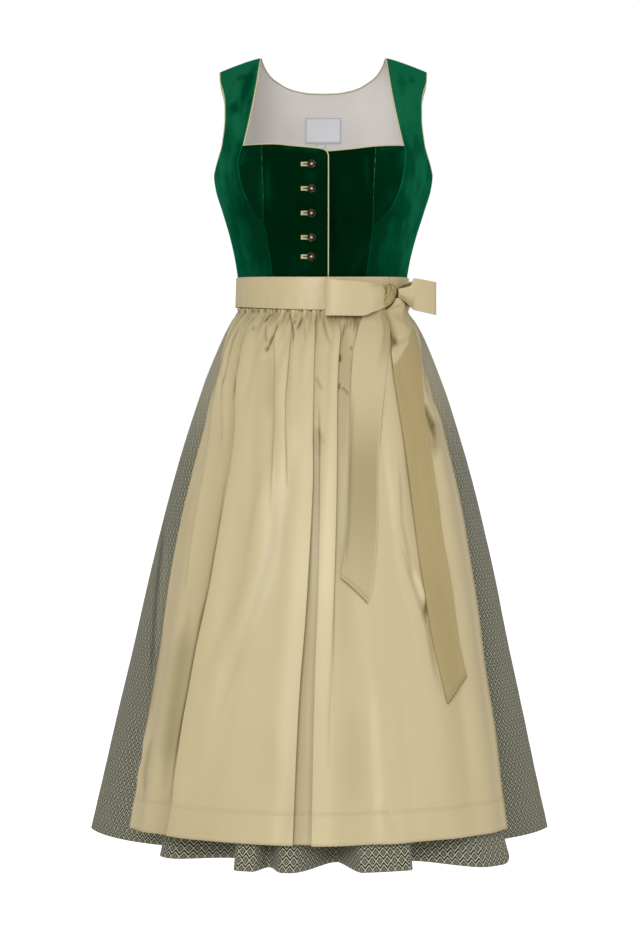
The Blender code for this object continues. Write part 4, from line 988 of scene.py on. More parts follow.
def addButtonhole(number, height):
    # a ring of close purl stitches round a slit, with a bar at its outer end
    middle = (hole["from"] + hole["to"]) / 2
    half = (hole["to"] - hole["from"]) / 2 - hole["half"]
    seat, face, aside, upward = seatAt(middle, height)
    count = hole["turns"] * 6
    loop = np.arange(count) / count
    straight, bend = 2.0 * half, math.pi * hole["half"]
    run = loop * (2.0 * (straight + bend))
    outerTurn = (run - straight) / hole["half"]
    innerTurn = (run - 2 * straight - bend) / hole["half"]
    parts = [run < straight, run < straight + bend, run < 2 * straight + bend]
    x = np.select(parts, [run - half, half + hole["half"] * np.sin(outerTurn),
                          half - (run - straight - bend)],
                  -half - hole["half"] * np.sin(innerTurn))
    y = np.select(parts, [np.full(count, hole["half"]), hole["half"] * np.cos(outerTurn),
                          np.full(count, -hole["half"])], -hole["half"] * np.cos(innerTurn))
    away = unit(np.stack([x - np.clip(x, -half, half), y], axis=-1))
    wind = loop * hole["turns"] * 2.0 * math.pi
    radius = hole["thread"] * (1.0 + 0.12 * np.cos(wind * 3.1))
    out = radius * np.cos(wind) * 0.95
    rise = 0.0003 + radius * 0.55 * (1.0 + np.sin(wind)) * 0.6
    route = (seat + aside * (x + away[:, 0] * out)[:, None] + upward * (y + away[:, 1] * out)[:, None]
             + face * rise[:, None])
    makeTube("buttonhole_%d" % number, [route], hole["yarn"], paleThread, True, 1)
    barTurn = np.linspace(0.0, hole["barTurns"] * 2.0 * math.pi, hole["barPlaces"])
    tall = np.linspace(-1.0, 1.0, hole["barPlaces"]) * (hole["half"] + 0.001)
    bar = (seat + aside * (-half - hole["half"] - 0.0006 + 0.0009 * np.cos(barTurn))[:, None]
           + upward * tall[:, None] + face * (0.0005 + 0.0005 * np.sin(barTurn))[:, None])
    makeTube("barTack_%d" % number, [bar], hole["yarn"], paleThread, False, 1)


for number, height in enumerate(button["heights"], start=1):
    addButton(number, height)
    addButtonhole(number, height)
print("buttons made")

# skirt

skirtForm = {
    # height, half width, depth in front, depth behind
    "sections": (
        (-1.118, 0.333, 0.32, 0.298), (-1.034, 0.313, 0.292, 0.278), (-0.9455, 0.293, 0.272, 0.258),
        (-0.8585, 0.273, 0.252, 0.238), (-0.7425, 0.248, 0.2265, 0.212), (-0.6265, 0.22, 0.197, 0.182),
        (-0.525, 0.1905, 0.1665, 0.152), (-0.447, 0.1642, 0.138, 0.125), (-0.405, 0.1462, 0.121, 0.108),
        (-0.385, 0.1345, 0.11, 0.098), (-0.3665, 0.1225, 0.0985, 0.089), (-0.3363, 0.1205, 0.0965, 0.087)),
    # valleys: angle, depth at the hem, width before and after, height where they start, lean,
    # and which flank is flat (-1 before, 1 after)
    "valleys": (
        (-60, 0.076, 32, 22, -0.5, -12, -1), (-26.4, 0.078, 22, 7, -0.6, 0, 0),
        (-13.3, 0.034, 2, 4.5, -0.8, 0, 0), (5.2, 0.075, 12, 4.3, -0.58, 0, 0),
        (26.6, 0.056, 5.5, 16, -0.62, 0, 0), (66, 0.084, 16, 28, -0.52, 10, 1),
        (108, 0.05, 12, 15, -0.6, 0, 0), (131, 0.066, 15, 8, -0.54, -3, 0),
        (153, 0.048, 8, 12, -0.66, 0, 0), (177, 0.07, 15, 10, -0.56, 2, 0),
        (201, 0.052, 8, 12, -0.62, 0, 0), (226, 0.068, 12, 13, -0.55, 3, 0),
        (250, 0.05, 13, 10, -0.62, 0, 0)),
    "valleyPower": 1.25, "hem": -1.118, "top": -0.3363, "sway": -0.0048, "bandBottom": -0.3663,
    "dipAngle": 49, "dip": 0.0095, "dipBefore": 24, "dipAfter": 3.5, "dipTop": -0.95,
    "frontDrop": 0.003,       # how much lower the waist seam lies at the front
    "hipRise": 0.0024,         # how much higher the band's lower edge lies on the wearer's right
    "wall": 0.0012, "rows": 158, "lowRows": 96, "lowTo": -0.52, "columns": 300, "sideGap": 0.00004,
    "patternLow": -1.035, "topLight": 0.6,
    # a fold of the front beside the apron with painted shade along its crease, and a painted light band
    # beside it: places x, z, width, how far they stand out, tone
    "marks": ((((-0.2262, -0.65), (-0.23, -0.6885), (-0.2378, -0.7749), (-0.2412, -0.8363),
                (-0.2462, -0.9144)),
               0.0026, -0.0012, -0.5),
              (((-0.2225, -0.6885), (-0.23, -0.7749), (-0.2365, -0.86)), 0.004, 0.0, 0.2)),
    # gathers: share across a half, width in shares, how deep, height where it dies out
    "gathers": (
        (0.02, 0.011, 0.8, -0.5), (0.058, 0.013, 1.0, -0.56), (0.103, 0.01, 0.7, -0.47),
        (0.141, 0.013, 1.0, -0.62), (0.19, 0.011, 0.9, -0.5), (0.233, 0.013, 0.8, -0.55),
        (0.286, 0.012, 1.0, -0.66), (0.331, 0.01, 0.7, -0.47), (0.37, 0.013, 0.9, -0.52),
        (0.421, 0.012, 1.0, -0.6), (0.462, 0.01, 0.8, -0.48), (0.511, 0.014, 1.0, -0.57),
        (0.561, 0.011, 0.8, -0.5), (0.598, 0.012, 1.0, -0.64), (0.652, 0.011, 0.7, -0.48),
        (0.694, 0.013, 1.0, -0.55), (0.741, 0.012, 0.9, -0.6), (0.783, 0.01, 0.8, -0.48),
        (0.834, 0.013, 1.0, -0.58), (0.876, 0.011, 0.8, -0.5), (0.92, 0.012, 1.0, -0.63),
        (0.967, 0.012, 0.9, -0.52)),
    "gatherTop": 0.0014, "gatherFull": 0.0034, "gatherSpread": 2.6,
    # soft bends low in the cloth: x, z to x, z, width, how far they stand out
    "bends": (
        (-0.236, -0.695, -0.245, -0.85, 0.012, 0.0022), (-0.262, -0.9, -0.27, -1.06, 0.014, -0.0026),
        (0.205, -0.56, 0.232, -0.7, 0.01, -0.002), (0.262, -0.8, 0.28, -1.02, 0.014, -0.0024),
        (0.18, -0.47, 0.214, -0.6, 0.007, -0.0026), (0.168, -0.462, 0.2, -0.61, 0.007, 0.0022),
        (0.19, -0.48, 0.222, -0.64, 0.006, 0.002), (-0.23, -0.7, -0.222, -0.85, 0.01, -0.0022)),
}
g = skirtForm
skirtShape = columnsOf(g["sections"], 1, 2, 3)


def skirtPlain(angle, height, outward):
    # the flared form without folds, moved outward along its own plan
    angle, height, outward = np.broadcast_arrays(angle, height, outward)
    point = ovalPoint(skirtShape, angle, height).copy()
    flat = point * np.array([1.0, 1.0, 0.0])
    point += unit(flat) * outward[..., None]
    point[..., 0] += g["sway"] * smooth(-height, 0.5, -g["hem"])
    point[..., 2] -= frontDrop(angle) * (1.0 - smooth(-height, 0.37, 0.46))
    point[..., 2] += hipRise(angle) * smooth(-height, 0.34, 0.3655) * (1.0 - smooth(-height, 0.37, 0.43))
    return point


def hipRise(angle):
    return g["hipRise"] * np.clip(-np.sin(np.radians(angle)), 0.0, 1.0) ** 1.5


def frontDrop(angle):
    return g["frontDrop"] * np.maximum(np.cos(np.radians(angle)), 0.0) ** 2


def valleyDepth(angle, height):
    depth = np.zeros(np.broadcast(angle, height).shape)
    for middle, deep, before, after, top, lean, flat in g["valleys"]:
        grown = np.clip((top - height) / (top - g["hem"]), 0.0, None) ** g["valleyPower"]
        offset = wrapped(angle - middle - lean * (grown - 1.0))
        level = np.maximum(1.0 - np.abs(offset) / (before if flat < 0 else after), 0.0) ** 1.15
        depth += deep * grown * np.where(offset * flat > 0.0, level, foldShape(offset, before, after))
    return depth


def gatherOpening(height, atBand, fullest):
    return mix(atBand, fullest, smooth(-height, -g["bandBottom"], 0.398))


def gathersAt(share, height, table, atBand, fullest, widening):
    # unlike gathers side by side; each widens as it runs down and dies out at its own height
    drop = -height + g["bandBottom"]
    total = np.zeros(np.broadcast(share, height).shape)
    for middle, width, strength, end in table:
        grown = width * (1.0 + widening * np.maximum(drop, 0.0) / 0.15)
        fade = 1.0 - smooth(-height, 0.4, -end)
        bump = np.maximum(1.0 - ((share - middle) / (2.1 * grown)) ** 2, 0.0) ** 1.5
        total = np.maximum(total, strength * fade * bump)
    return gatherOpening(height, atBand, fullest) * total


def addSkirtHalf(name, middle, depthIndex, node, slot, mirror):
    columns = np.linspace(-1.0, 1.0, g["columns"])
    heights = stepped(g["hem"], (g["lowTo"], g["lowRows"]), (g["top"], g["rows"] - g["lowRows"] + 1))
    share, height = columns[None, :], heights[:, None]
    half = 90.0 - np.degrees(g["sideGap"] / skirtShape[depthIndex](height))
    angle = middle + half * (0.75 * share + 0.25 * share ** 3)
    across = (share * mirror + 1.0) / 2.0
    gathers = gathersAt(across, height, g["gathers"], g["gatherTop"], g["gatherFull"], g["gatherSpread"])
    inward = valleyDepth(angle, height) + gathers
    plain = skirtPlain(angle, height, -inward)
    side = 1.0 if middle == 0.0 else -1.0
    bends = creases(plain[..., 0] * side, plain[..., 2], g["bends"])
    edge = smooth(1.0 - np.abs(share), 0.0, 0.02)
    points = skirtPlain(angle, height, -inward + np.minimum(bends, 0.0) * edge)
    dip = g["dip"] * foldShape(wrapped(angle - g["dipAngle"]), g["dipBefore"], g["dipAfter"])
    points[..., 2] -= np.where(height < g["dipTop"], dip, 0.0)
    cloth = clothLengths(points)
    across = cloth[..., 0]
    low = int(np.argmin(np.abs(heights - g["patternLow"])))
    half = np.where(share < 0.0, across[:, :1], across[:, -1:])
    seen = half[low] + (across - half)      # above that height the pattern follows the side seams
    across = np.where(height < g["patternLow"], across[low], seen)
    uv = np.stack(np.broadcast_arrays(across, cloth[..., 1]), axis=-1)
    # painted light on the upper skirt over its front and sides, and the marks' painted shade and light
    tone = g["topLight"] * smooth(height, -0.6, -0.44) * smooth(np.cos(np.radians(angle)), -0.45, -0.05)
    if side > 0.0:
        tone = tone + nearLines(plain[..., 0], plain[..., 2], g["marks"])[1]
    addSheet(name, points, g["wall"], [jacquardCloth, jacquardReverse], "gathered", ["bandOfApron"],
             (node,), slot, uv=uv, tone=tone)


addSkirtHalf("skirtFront", 0.0, 1, "skirt_front", "jacquard_front", 1.0)
addSkirtHalf("skirtBack", 180.0, 2, "skirt_back", "jacquard_back", -1.0)
print("skirt made")

# apron

apronForm = {
    "hem": -1.082, "top": -0.3666, "wall": 0.0011, "columns": 336,
    "rows": ((-1.044, 9), (-1.0395, 4), (-0.5, 73), (-0.4, 40)), "topRows": 26,     # up to each height
    "clearance": 0.002,       # from the skirt's plain form to the apron's outer face, along its edges
    "fullness": 0.004,        # how much further it stands off between them
    "fullFrom": 0.372, "fullTo": 0.43, "edgeReach": 7.0,       # over these depths, and degrees from an edge
    # height, edge on the wearer's right and on the left, in degrees
    "edges": (
        (-1.082, -52.8, 51.5), (-0.9455, -54.5, 54.3), (-0.8585, -55.5, 55.4), (-0.7425, -57.8, 57.4),
        (-0.6265, -59.2, 58.8), (-0.538, -59.2, 59.4), (-0.496, -60.8, 57.6), (-0.453, -61.5, 57.8),
        (-0.436, -62.4, 58.8), (-0.419, -64.0, 62.0), (-0.395, -67.4, 68.0), (-0.38, -72.5, 72.5),
        (-0.3665, -80.0, 77.0)),
    # pleats: the side where the cloth drops (-1 right, 1 left), their line and rise by height,
    # the width of the near part, of the drop and of the recess past it, and the recess's depth
    "pleats": (
        (-1, ((-0.382, -48.0), (-0.418, -43.4), (-0.44, -41.6), (-0.4705, -39.9), (-0.534, -36.0),
              (-0.589, -34.5), (-0.682, -35.0), (-0.755, -35.5), (-0.841, -37.0), (-0.927, -37.5),
              (-1.017, -37.9), (-1.082, -38.4)),
         ((-0.37, 0.001), (-0.4, 0.004), (-0.48, 0.008), (-0.64, 0.01), (-0.9, 0.01), (-1.0, 0.006),
          (-1.05, 0.0025), (-1.082, 0.002)), 18.0, 1.4, 9.0, 0.0042),
        (-1, ((-0.374, -65.2), (-0.411, -58.6), (-0.49, -48.4), (-0.561, -42.3)),
         ((-0.37, 0.0005), (-0.4, 0.0028), (-0.5, 0.0028), (-0.56, 0.0)), 5.0, 0.9, 3.0, 0.0014),
        (-1, ((-0.413, -60.5), (-0.458, -55.5), (-0.514, -53.0), (-0.566, -50.6), (-0.6, -49.3),
              (-0.68, -47.8), (-0.76, -46.5)),
         ((-0.4, 0.0), (-0.45, 0.0026), (-0.6, 0.003), (-0.7, 0.0024), (-0.76, 0.0)), 6.0, 0.8, 4.0, 0.0018),
        (-1, ((-0.39, -27.0), (-0.44, -22.8), (-0.49, -20.6), (-0.548, -18.8), (-0.606, -17.5),
              (-0.66, -16.6)),
         ((-0.37, 0.0), (-0.41, 0.0018), (-0.5, 0.0022), (-0.6, 0.0014), (-0.66, 0.0)), 5.0, 1.4, 3.4, 0.001),
        (1, ((-0.372, -20.5), (-0.4, -17.2), (-0.44, -16.2), (-0.482, -15.9), (-0.526, -14.9),
             (-0.578, -13.6), (-0.63, -12.6)),
         ((-0.37, 0.0008), (-0.4, 0.0024), (-0.5, 0.0028), (-0.58, 0.0016), (-0.63, 0.0)), 4.0, 0.8, 2.6,
         0.0012),
        (1, ((-0.38, -4.4), (-0.44, -4.5), (-0.537, -4.2), (-0.618, -3.55), (-0.665, -3.85), (-0.727, -4.2),
             (-0.795, -4.75), (-0.875, -5.6), (-0.924, -5.85), (-1.082, -6.2)),
         ((-0.37, 0.0008), (-0.42, 0.002), (-0.52, 0.0022), (-0.6, 0.0036), (-0.68, 0.0068), (-0.74, 0.008),
          (-0.9, 0.008), (-1.082, 0.006)),
         17.0, 1.2, 5.0, 0.003),
        (-1, ((-0.52, -1.05), (-0.64, -1.05), (-0.74, -1.2), (-0.855, -1.66), (-1.082, -1.9)),
         ((-0.5, 0.0), (-0.56, 0.002), (-0.7, 0.004), (-0.8, 0.006), (-0.9, 0.008), (-1.082, 0.009)),
         14.0, 1.2, 2.6, 0.0016),
        (1, ((-0.397, 9.0), (-0.44, 6.8), (-0.496, 5.6), (-0.618, 4.55), (-0.7066, 3.9), (-0.766, 3.5),
             (-0.924, 2.6)),
         ((-0.37, 0.0006), (-0.4, 0.0034), (-0.6, 0.004), (-0.72, 0.0026), (-0.82, 0.0012), (-0.92, 0.0)),
         4.5, 0.8, 7.0, 0.0036)),
    "lineShade": 0.5, "recessShade": 0.26, "foldLight": 0.25,
    "overhang": 1.5,           # how far a pleat folds over its drop, in widths of the drop
    # soft ridges: line and rise by height, width before and after
    "ridges": (
        (((-0.4, -28), (-0.64, -20), (-0.9, -22), (-1.082, -24)),
         ((-0.4, 0.001), (-0.64, 0.003), (-0.9, 0.003), (-1.082, 0.002)), 6.0, 8.0),
        (((-0.4, -14.7), (-0.514, -14.7), (-0.641, -19.2), (-0.714, -19.7), (-0.791, -24.8), (-0.874, -29.6),
          (-1.082, -33.0)),
         ((-0.46, 0.0), (-0.56, 0.0034), (-0.7, 0.0038), (-0.88, 0.0032), (-1.082, 0.002)), 5.0, 7.0),
        (((-0.4, 27.5), (-0.614, 27), (-0.721, 27.7), (-0.793, 30.4), (-0.871, 31.5), (-1.082, 33)),
         ((-0.4, 0.002), (-0.64, 0.006), (-0.9, 0.006), (-1.082, 0.003)), 5.0, 10.0),
        (((-0.4, 56), (-0.45, 52), (-0.559, 49.5), (-0.9, 46), (-1.082, 44)),
         ((-0.45, 0.0), (-0.56, 0.005), (-0.9, 0.0044), (-1.082, 0.003)), 6.0, 6.0),
        (((-0.6, -50), (-0.9, -47), (-1.082, -46)),
         ((-0.6, 0.0), (-0.74, 0.0026), (-0.9, 0.0028), (-1.082, 0.002)), 4.0, 4.0),
        (((-0.56, 13), (-0.8, 15), (-1.082, 17)),
         ((-0.56, 0.0), (-0.8, 0.004), (-1.082, 0.005)), 6.0, 7.0)),
    # gathers: share across the apron, width, how strong, height where it dies out
    "gathers": (
        (0.012, 0.01, 1.0, -0.5), (0.047, 0.009, 0.7, -0.44), (0.079, 0.012, 1.0, -0.56),
        (0.122, 0.01, 0.8, -0.46), (0.155, 0.009, 1.0, -0.5), (0.196, 0.012, 0.9, -0.6),
        (0.236, 0.01, 0.7, -0.44), (0.268, 0.011, 1.0, -0.54), (0.311, 0.01, 0.8, -0.47),
        (0.343, 0.009, 0.9, -0.45), (0.379, 0.012, 1.0, -0.62), (0.418, 0.009, 0.7, -0.44),
        (0.449, 0.01, 1.0, -0.5), (0.487, 0.011, 0.9, -0.56), (0.523, 0.009, 0.8, -0.45),
        (0.553, 0.01, 1.0, -0.52), (0.591, 0.011, 0.9, -0.6), (0.63, 0.009, 0.7, -0.46),
        (0.664, 0.011, 1.0, -0.54), (0.705, 0.01, 0.8, -0.47), (0.741, 0.009, 0.9, -0.49),
        (0.778, 0.012, 1.0, -0.58), (0.822, 0.01, 0.8, -0.46), (0.858, 0.009, 1.0, -0.5),
        (0.901, 0.012, 0.9, -0.62), (0.946, 0.01, 0.8, -0.47), (0.984, 0.01, 1.0, -0.53)),
    "gatherTop": 0.001, "gatherFull": 0.0036, "gatherSpread": 1.7,
    # small puckers drawn up by the band's seam: how many, how deep, shortest and longest, and the painted
    # shade in their hollows
    "puckers": 58, "puckerDepth": 0.0018, "puckerShort": 0.011, "puckerLong": 0.044, "puckerShade": 0.65,
    # creases near the band and wrinkles lower down: x, z to x, z, width, how far they stand out
    "bends": (
        (-0.079, -0.566, -0.107, -0.742, 0.006, 0.0016), (-0.118, -0.64, -0.14, -0.86, 0.016, -0.0026),
        (0.12, -0.56, 0.128, -0.76, 0.012, -0.0024), (0.06, -0.86, 0.066, -1.05, 0.016, -0.0026),
        (0.083, -1.035, 0.096, -1.062, 0.005, -0.0022), (-0.06, -0.93, -0.052, -1.06, 0.012, 0.002),
        (-0.19, -0.9, -0.196, -1.05, 0.012, 0.002), (0.165, -0.6, 0.176, -0.86, 0.012, 0.0018),
        (0.144, -0.505, 0.156, -0.55, 0.005, -0.0022), (0.156, -0.5, 0.166, -0.54, 0.006, 0.0014),
        (-0.158, -0.52, -0.186, -0.64, 0.008, -0.0026), (0.02, -0.7, 0.03, -0.9, 0.016, 0.0016),
        (-0.1, -0.47, -0.112, -0.6, 0.006, 0.0014), (-0.062, -0.48, -0.068, -0.64, 0.007, -0.0014)),
    # creases and drops with painted shade, and painted glints: places x, z along each, its width, how far it
    # stands out, its painted tone
    "marks": (
        (((-0.1129, -0.3802), (-0.1195, -0.3967), (-0.126, -0.4123), (-0.1323, -0.4364),
         (-0.1372, -0.4634), (-0.1446, -0.4946)), 0.0012, -0.0014, -0.6),
        (((-0.105, -0.3971), (-0.1099, -0.4112), (-0.115, -0.4367), (-0.1174, -0.4523),
         (-0.1224, -0.4706), (-0.1265, -0.496)), 0.0019, -0.002, -0.95),
        (((-0.1143, -0.4339), (-0.1174, -0.4537)), 0.0026, -0.0014, -0.95),
        (((-0.0963, -0.3916), (-0.0978, -0.398)), 0.002, -0.0014, -0.6),
        (((-0.0699, -0.3718), (-0.0777, -0.3794), (-0.084, -0.3873)), 0.0015, -0.0016, -0.75),
        (((-0.0614, -0.3838), (-0.067, -0.4029), (-0.0722, -0.4118),
         (-0.0779, -0.4273)), 0.0016, -0.0024, -0.9),
        (((-0.0773, -0.4203), (-0.0786, -0.4287)), 0.0024, -0.0014, -0.7),
        (((-0.0813, -0.3905), (-0.0791, -0.4061), (-0.0776, -0.4188)), 0.0014, -0.0014, -0.55),
        (((-0.0487, -0.3714), (-0.0452, -0.384), (-0.041, -0.4006),
         (-0.0418, -0.4192)), 0.0012, -0.0016, -0.75),
        (((-0.0284, -0.3785), (-0.0333, -0.3897), (-0.0376, -0.3988)), 0.0013, -0.0018, -0.75),
        (((-0.0392, -0.3834), (-0.0399, -0.3896)), 0.0014, -0.001, -0.6),
        (((-0.0281, -0.3764), (-0.0263, -0.3953), (-0.0243, -0.4173)), 0.001, -0.0008, -0.4),
        (((-0.0084, -0.3753), (-0.0116, -0.3892), (-0.011, -0.4193)), 0.001, -0.0008, -0.5),
        (((0.0004, -0.3792), (0.0014, -0.3926), (0.0045, -0.4066),
         (0.0107, -0.42)), 0.0011, -0.0013, -0.6),
        (((0.0227, -0.4319), (0.0224, -0.4445)), 0.0019, -0.001, -0.9),
        (((0.0215, -0.4724), (0.021, -0.4821)), 0.0016, -0.001, -0.7),
        (((0.031, -0.3827), (0.0258, -0.4094)), 0.0012, -0.0014, -0.65),
        (((0.0346, -0.3799), (0.0317, -0.3995)), 0.001, -0.0012, -0.6),
        (((0.0395, -0.3799), (0.0374, -0.3953)), 0.001, -0.0012, -0.6),
        (((0.0451, -0.3798), (0.0416, -0.4009)), 0.001, -0.0012, -0.6),
        (((0.0387, -0.4206), (0.0378, -0.4269)), 0.0015, -0.001, -0.8),
        (((-0.011, -0.462), (-0.007, -0.472), (-0.001, -0.482)), 0.0022, -0.0008, -0.34),
        (((0.0218, -0.4779), (0.0274, -0.4793), (0.0315, -0.4835),
         (0.0357, -0.4904)), 0.0016, -0.0012, -0.55),
        (((0.0317, -0.3911), (0.0301, -0.496), (0.0278, -0.5924)), 0.006, 0.0, -0.2),
        (((-0.1218, -0.3781), (-0.1314, -0.4049), (-0.1406, -0.4334), (-0.1506, -0.4633),
         (-0.1597, -0.496)), 0.0012, -0.0012, -0.5),
        (((-0.136, -0.6064), (-0.145, -0.6823), (-0.1562, -0.7536), (-0.1674, -0.7965), (-0.1793, -0.8626),
          (-0.1902, -0.9298), (-0.2013, -0.9917), (-0.207, -1.0388)), 0.0026, 0.0, -0.75),
        (((-0.0754, -0.4259), (-0.0748, -0.5238)), 0.009, 0.0, -0.16),
        (((-0.0536, -0.4191), (-0.0553, -0.496), (-0.0557, -0.5651)), 0.004, 0.0, 0.18),
        (((-0.012, -0.533), (-0.002, -0.546), (0.006, -0.556)), 0.0048, -0.0004, -0.26),
        (((-0.008, -0.54), (-0.004, -0.574)), 0.009, 0.0, -0.2),
        (((0.1415, -0.5), (0.147, -0.518), (0.1525, -0.53), (0.156, -0.545)), 0.0034, -0.0014, -1.0),
        (((0.148, -0.515), (0.1539, -0.5401), (0.1556, -0.575)), 0.007, -0.0006, -0.55),
        (((0.157, -0.505), (0.1621, -0.5236)), 0.0034, 0.0, 0.45),
        (((0.1383, -0.4277), (0.1435, -0.4676), (0.1496, -0.4988)), 0.0015, -0.0014, -0.4),
        (((0.1051, -0.5793), (0.1081, -0.6642), (0.1239, -0.7416)), 0.003, -0.0008, -0.28),
        (((0.1045, -0.6899), (0.1271, -0.7546), (0.1431, -0.8062), (0.1522, -0.8633),
         (0.1616, -0.8948)), 0.0034, -0.0016, -0.35),
        (((0.124, -0.7269), (0.1388, -0.7704)), 0.0044, 0.0014, 0.8),
        (((0.1404, -0.7665), (0.1401, -0.7945)), 0.0034, -0.002, -0.75),
        (((0.013, -0.73), (0.0129, -0.7806), (0.0097, -0.8985), (0.0088, -0.98)), 0.0011, -0.0003, -0.45),
        (((-0.0725, -0.6181), (-0.0854, -0.6957), (-0.1108, -0.7919),
         (-0.1487, -0.913)), 0.009, 0.0, 0.12),
        (((-0.0638, -0.618), (-0.0675, -0.6954), (-0.0984, -0.7914),
         (-0.1361, -0.9122)), 0.009, 0.0, -0.16),
        (((-0.185, -0.79), (-0.196, -0.8541), (-0.204, -0.91), (-0.211, -0.9674), (-0.217, -1.015)),
         0.013, 0.0, -0.42),
        (((-0.2233, -0.7994), (-0.2323, -0.8765), (-0.2435, -0.9477)), 0.004, -0.001, -0.3),
        (((-0.2343, -0.9569), (-0.2436, -0.9907), (-0.2467, -1.0432)), 0.003, -0.001, -0.35),
        (((-0.051, -0.9891), (-0.0589, -1.0611), (-0.0629, -1.0878)), 0.005, -0.0012, -0.14),
        (((0.0399, -0.8988), (0.0436, -0.9762), (0.0381, -1.0274)), 0.016, 0.0, -0.08),
    ),
    # where gaps open under the band's edge, each a dent with painted shade
    "gaps": (-0.1221, -0.1129, -0.1014, -0.097, -0.0927, -0.0834, -0.0727, -0.0671, -0.0501, -0.034, -0.0305,
             -0.0186, -0.0032),
    # the right edge ripples low down: height, how far out, spread
    "edgeRipples": (
        (-0.966, 0.0012, 0.01), (-0.99, -0.0011, 0.008), (-1.008, 0.0012, 0.008), (-1.03, -0.001, 0.008)),
    "hemStitch": 0.038,        # the two rows of stitching lie this far above the hem
    "hemStep": 0.0004, "stitchRows": (0.0, 0.0032), "stitchLong": 0.0026, "stitchGap": 0.0007,
    "stitchRadius": 0.00032, }
a = apronForm
apronEdges = columnsOf(a["edges"], 1, 2)
apronPleats = [(side, curveThrough(line), curveThrough(rise), *widths)
               for side, line, rise, *widths in a["pleats"]]
apronRidges = [(curveThrough(line), curveThrough(rise), *widths) for line, rise, *widths in a["ridges"]]


def crestRise(angle, height):
    # how far the folds stand out, how far their crests lean over sideways, and the painted shade along each
    # pleat's drop and in its recess, with painted light on its fold
    rise = np.zeros(np.broadcast(angle, height).shape)
    shift, shade = np.zeros(rise.shape), np.zeros(rise.shape)
    for line, size, before, after in apronRidges:
        rise += size(height) * foldShape(angle - line(height), before, after)
    for side, line, size, near, drop, beyond, recess in apronPleats:
        full = size(height)
        lean = a["overhang"] * drop * np.minimum(full / 0.005, 1.0)
        offset = side * (angle - line(height)) + lean
        crest = foldShape(offset, near, 1e6)
        fallen = smooth(offset, 0.0, drop)
        past = 1.0 - smooth(offset, drop, drop + beyond)
        deep = recess * np.minimum(full / 0.003, 1.0)
        rise += np.where(offset < 0.0, full * crest, mix(full, -deep * past, fallen))
        shift += side * lean * np.where(offset < 0.0, bell(offset, 1.6 * drop), 1.0 - fallen)
        strong = np.minimum(full / 0.003, 1.0)
        line = a["lineShade"] * bell(offset - 0.7 * drop, 0.48 * drop)
        shade -= strong * (line + a["recessShade"] * fallen * past * min(recess / 0.004, 1.0))
        shade += strong * a["foldLight"] * bell(offset + 1.6 * drop, 1.3 * drop)
    grown = smooth(-height, -g["bandBottom"], 0.41)
    return rise * grown, shift * grown, shade * grown


def fullnessAt(fromEdge, height, reach):
    return a["fullness"] * smooth(fromEdge, 0.0, reach) * smooth(-height, a["fullFrom"], a["fullTo"])


def apronSurface(angle, height, outward):
    left, right = (edge(height) for edge in apronEdges)
    fullness = fullnessAt(np.minimum(angle - left, right - angle), height, a["edgeReach"])
    return skirtPlain(angle, height, a["clearance"] + fullness + outward)


def apronColumns(height):
    # columns across the apron, closer together along the pleats' lines
    left, right = (edge(height) for edge in apronEdges)
    angle = np.linspace(left, right, 3000)
    density = np.ones(len(angle)) + 2.0 * smooth(angle, -92.0, -50.0) * (1.0 - smooth(angle, 20.0, 60.0))
    for side, line, size, _, drop, _, _ in apronPleats:
        offset = angle - line(height) + side * 0.3 * drop
        density += 14.0 * min(size(height) / 0.003, 1.0) * bell(offset, 1.7 * drop)
    run = np.concatenate([[0.0], np.cumsum(density[1:] + density[:-1])])
    return np.interp(np.linspace(0.0, run[-1], a["columns"]), run, angle)


def bandPuckers(angle, height):
    # small folds of unlike size and length, drawn up by the seam
    chance = np.random.default_rng(7)
    total = np.zeros(np.broadcast(angle, height).shape)
    places = np.linspace(-78.0, 76.0, a["puckers"]) + chance.uniform(-0.9, 0.9, a["puckers"])
    for middle in places:
        long = chance.uniform(a["puckerShort"], a["puckerLong"])
        depth = a["puckerDepth"] * chance.uniform(0.45, 1.0)
        width = chance.uniform(0.45, 0.95)
        drop = g["bandBottom"] - height
        fade = 1.0 - smooth(drop, 0.15 * long, long)
        spread = width * (1.0 + 1.2 * np.maximum(drop, 0.0) / long)
        drift = middle * (1.0 - 1.6 * np.maximum(drop, 0.0))
        total -= depth * fade * bell(angle - drift, spread)
    return total


apronHeights = stepped(a["hem"], *a["rows"], (a["top"], a["topRows"]))
apronAngle = np.stack([apronColumns(height) for height in apronHeights])
apronHeight = apronHeights[:, None]
leftEdge, rightEdge = (edge(apronHeight) for edge in apronEdges)
apronShare = (apronAngle - leftEdge) / (rightEdge - leftEdge)
crest, crestShift, crestShade = crestRise(apronAngle, apronHeight)
apronGathers = gathersAt(apronShare, apronHeight, a["gathers"], a["gatherTop"], a["gatherFull"],
                         a["gatherSpread"])
plainApron = apronSurface(apronAngle, apronHeight, crest)
apronBends = creases(plainApron[..., 0], plainApron[..., 2], a["bends"])
gapMarks = tuple((((x, -0.366), (x * 0.99, -0.3725)), 0.001 + 0.0006 * (k % 3), -0.0022, -0.7)
                 for k, x in enumerate(a["gaps"]))
markRise, markTone = nearLines(plainApron[..., 0], plainApron[..., 2], a["marks"] + gapMarks)
apronBends += markRise
fromHem = apronHeight - a["hem"]
step = a["hemStep"] * (1.0 - smooth(fromHem, a["hemStitch"] - 0.001, a["hemStitch"] + 0.002))
tug = bell(fromHem - a["hemStitch"], 0.004)
tugs = 0.0003 * tug * (0.5 + 0.5 * np.sin(apronShare * 310.0 + 5.0 * np.sin(apronShare * 37.0)))
fromSide = np.minimum(apronShare, 1.0 - apronShare)
sideWave = 0.5 + 0.5 * np.sin(apronHeight * 41.0 + apronShare * 3.0)
sideWave = 0.0008 * bell(fromSide, 0.02) * sideWave
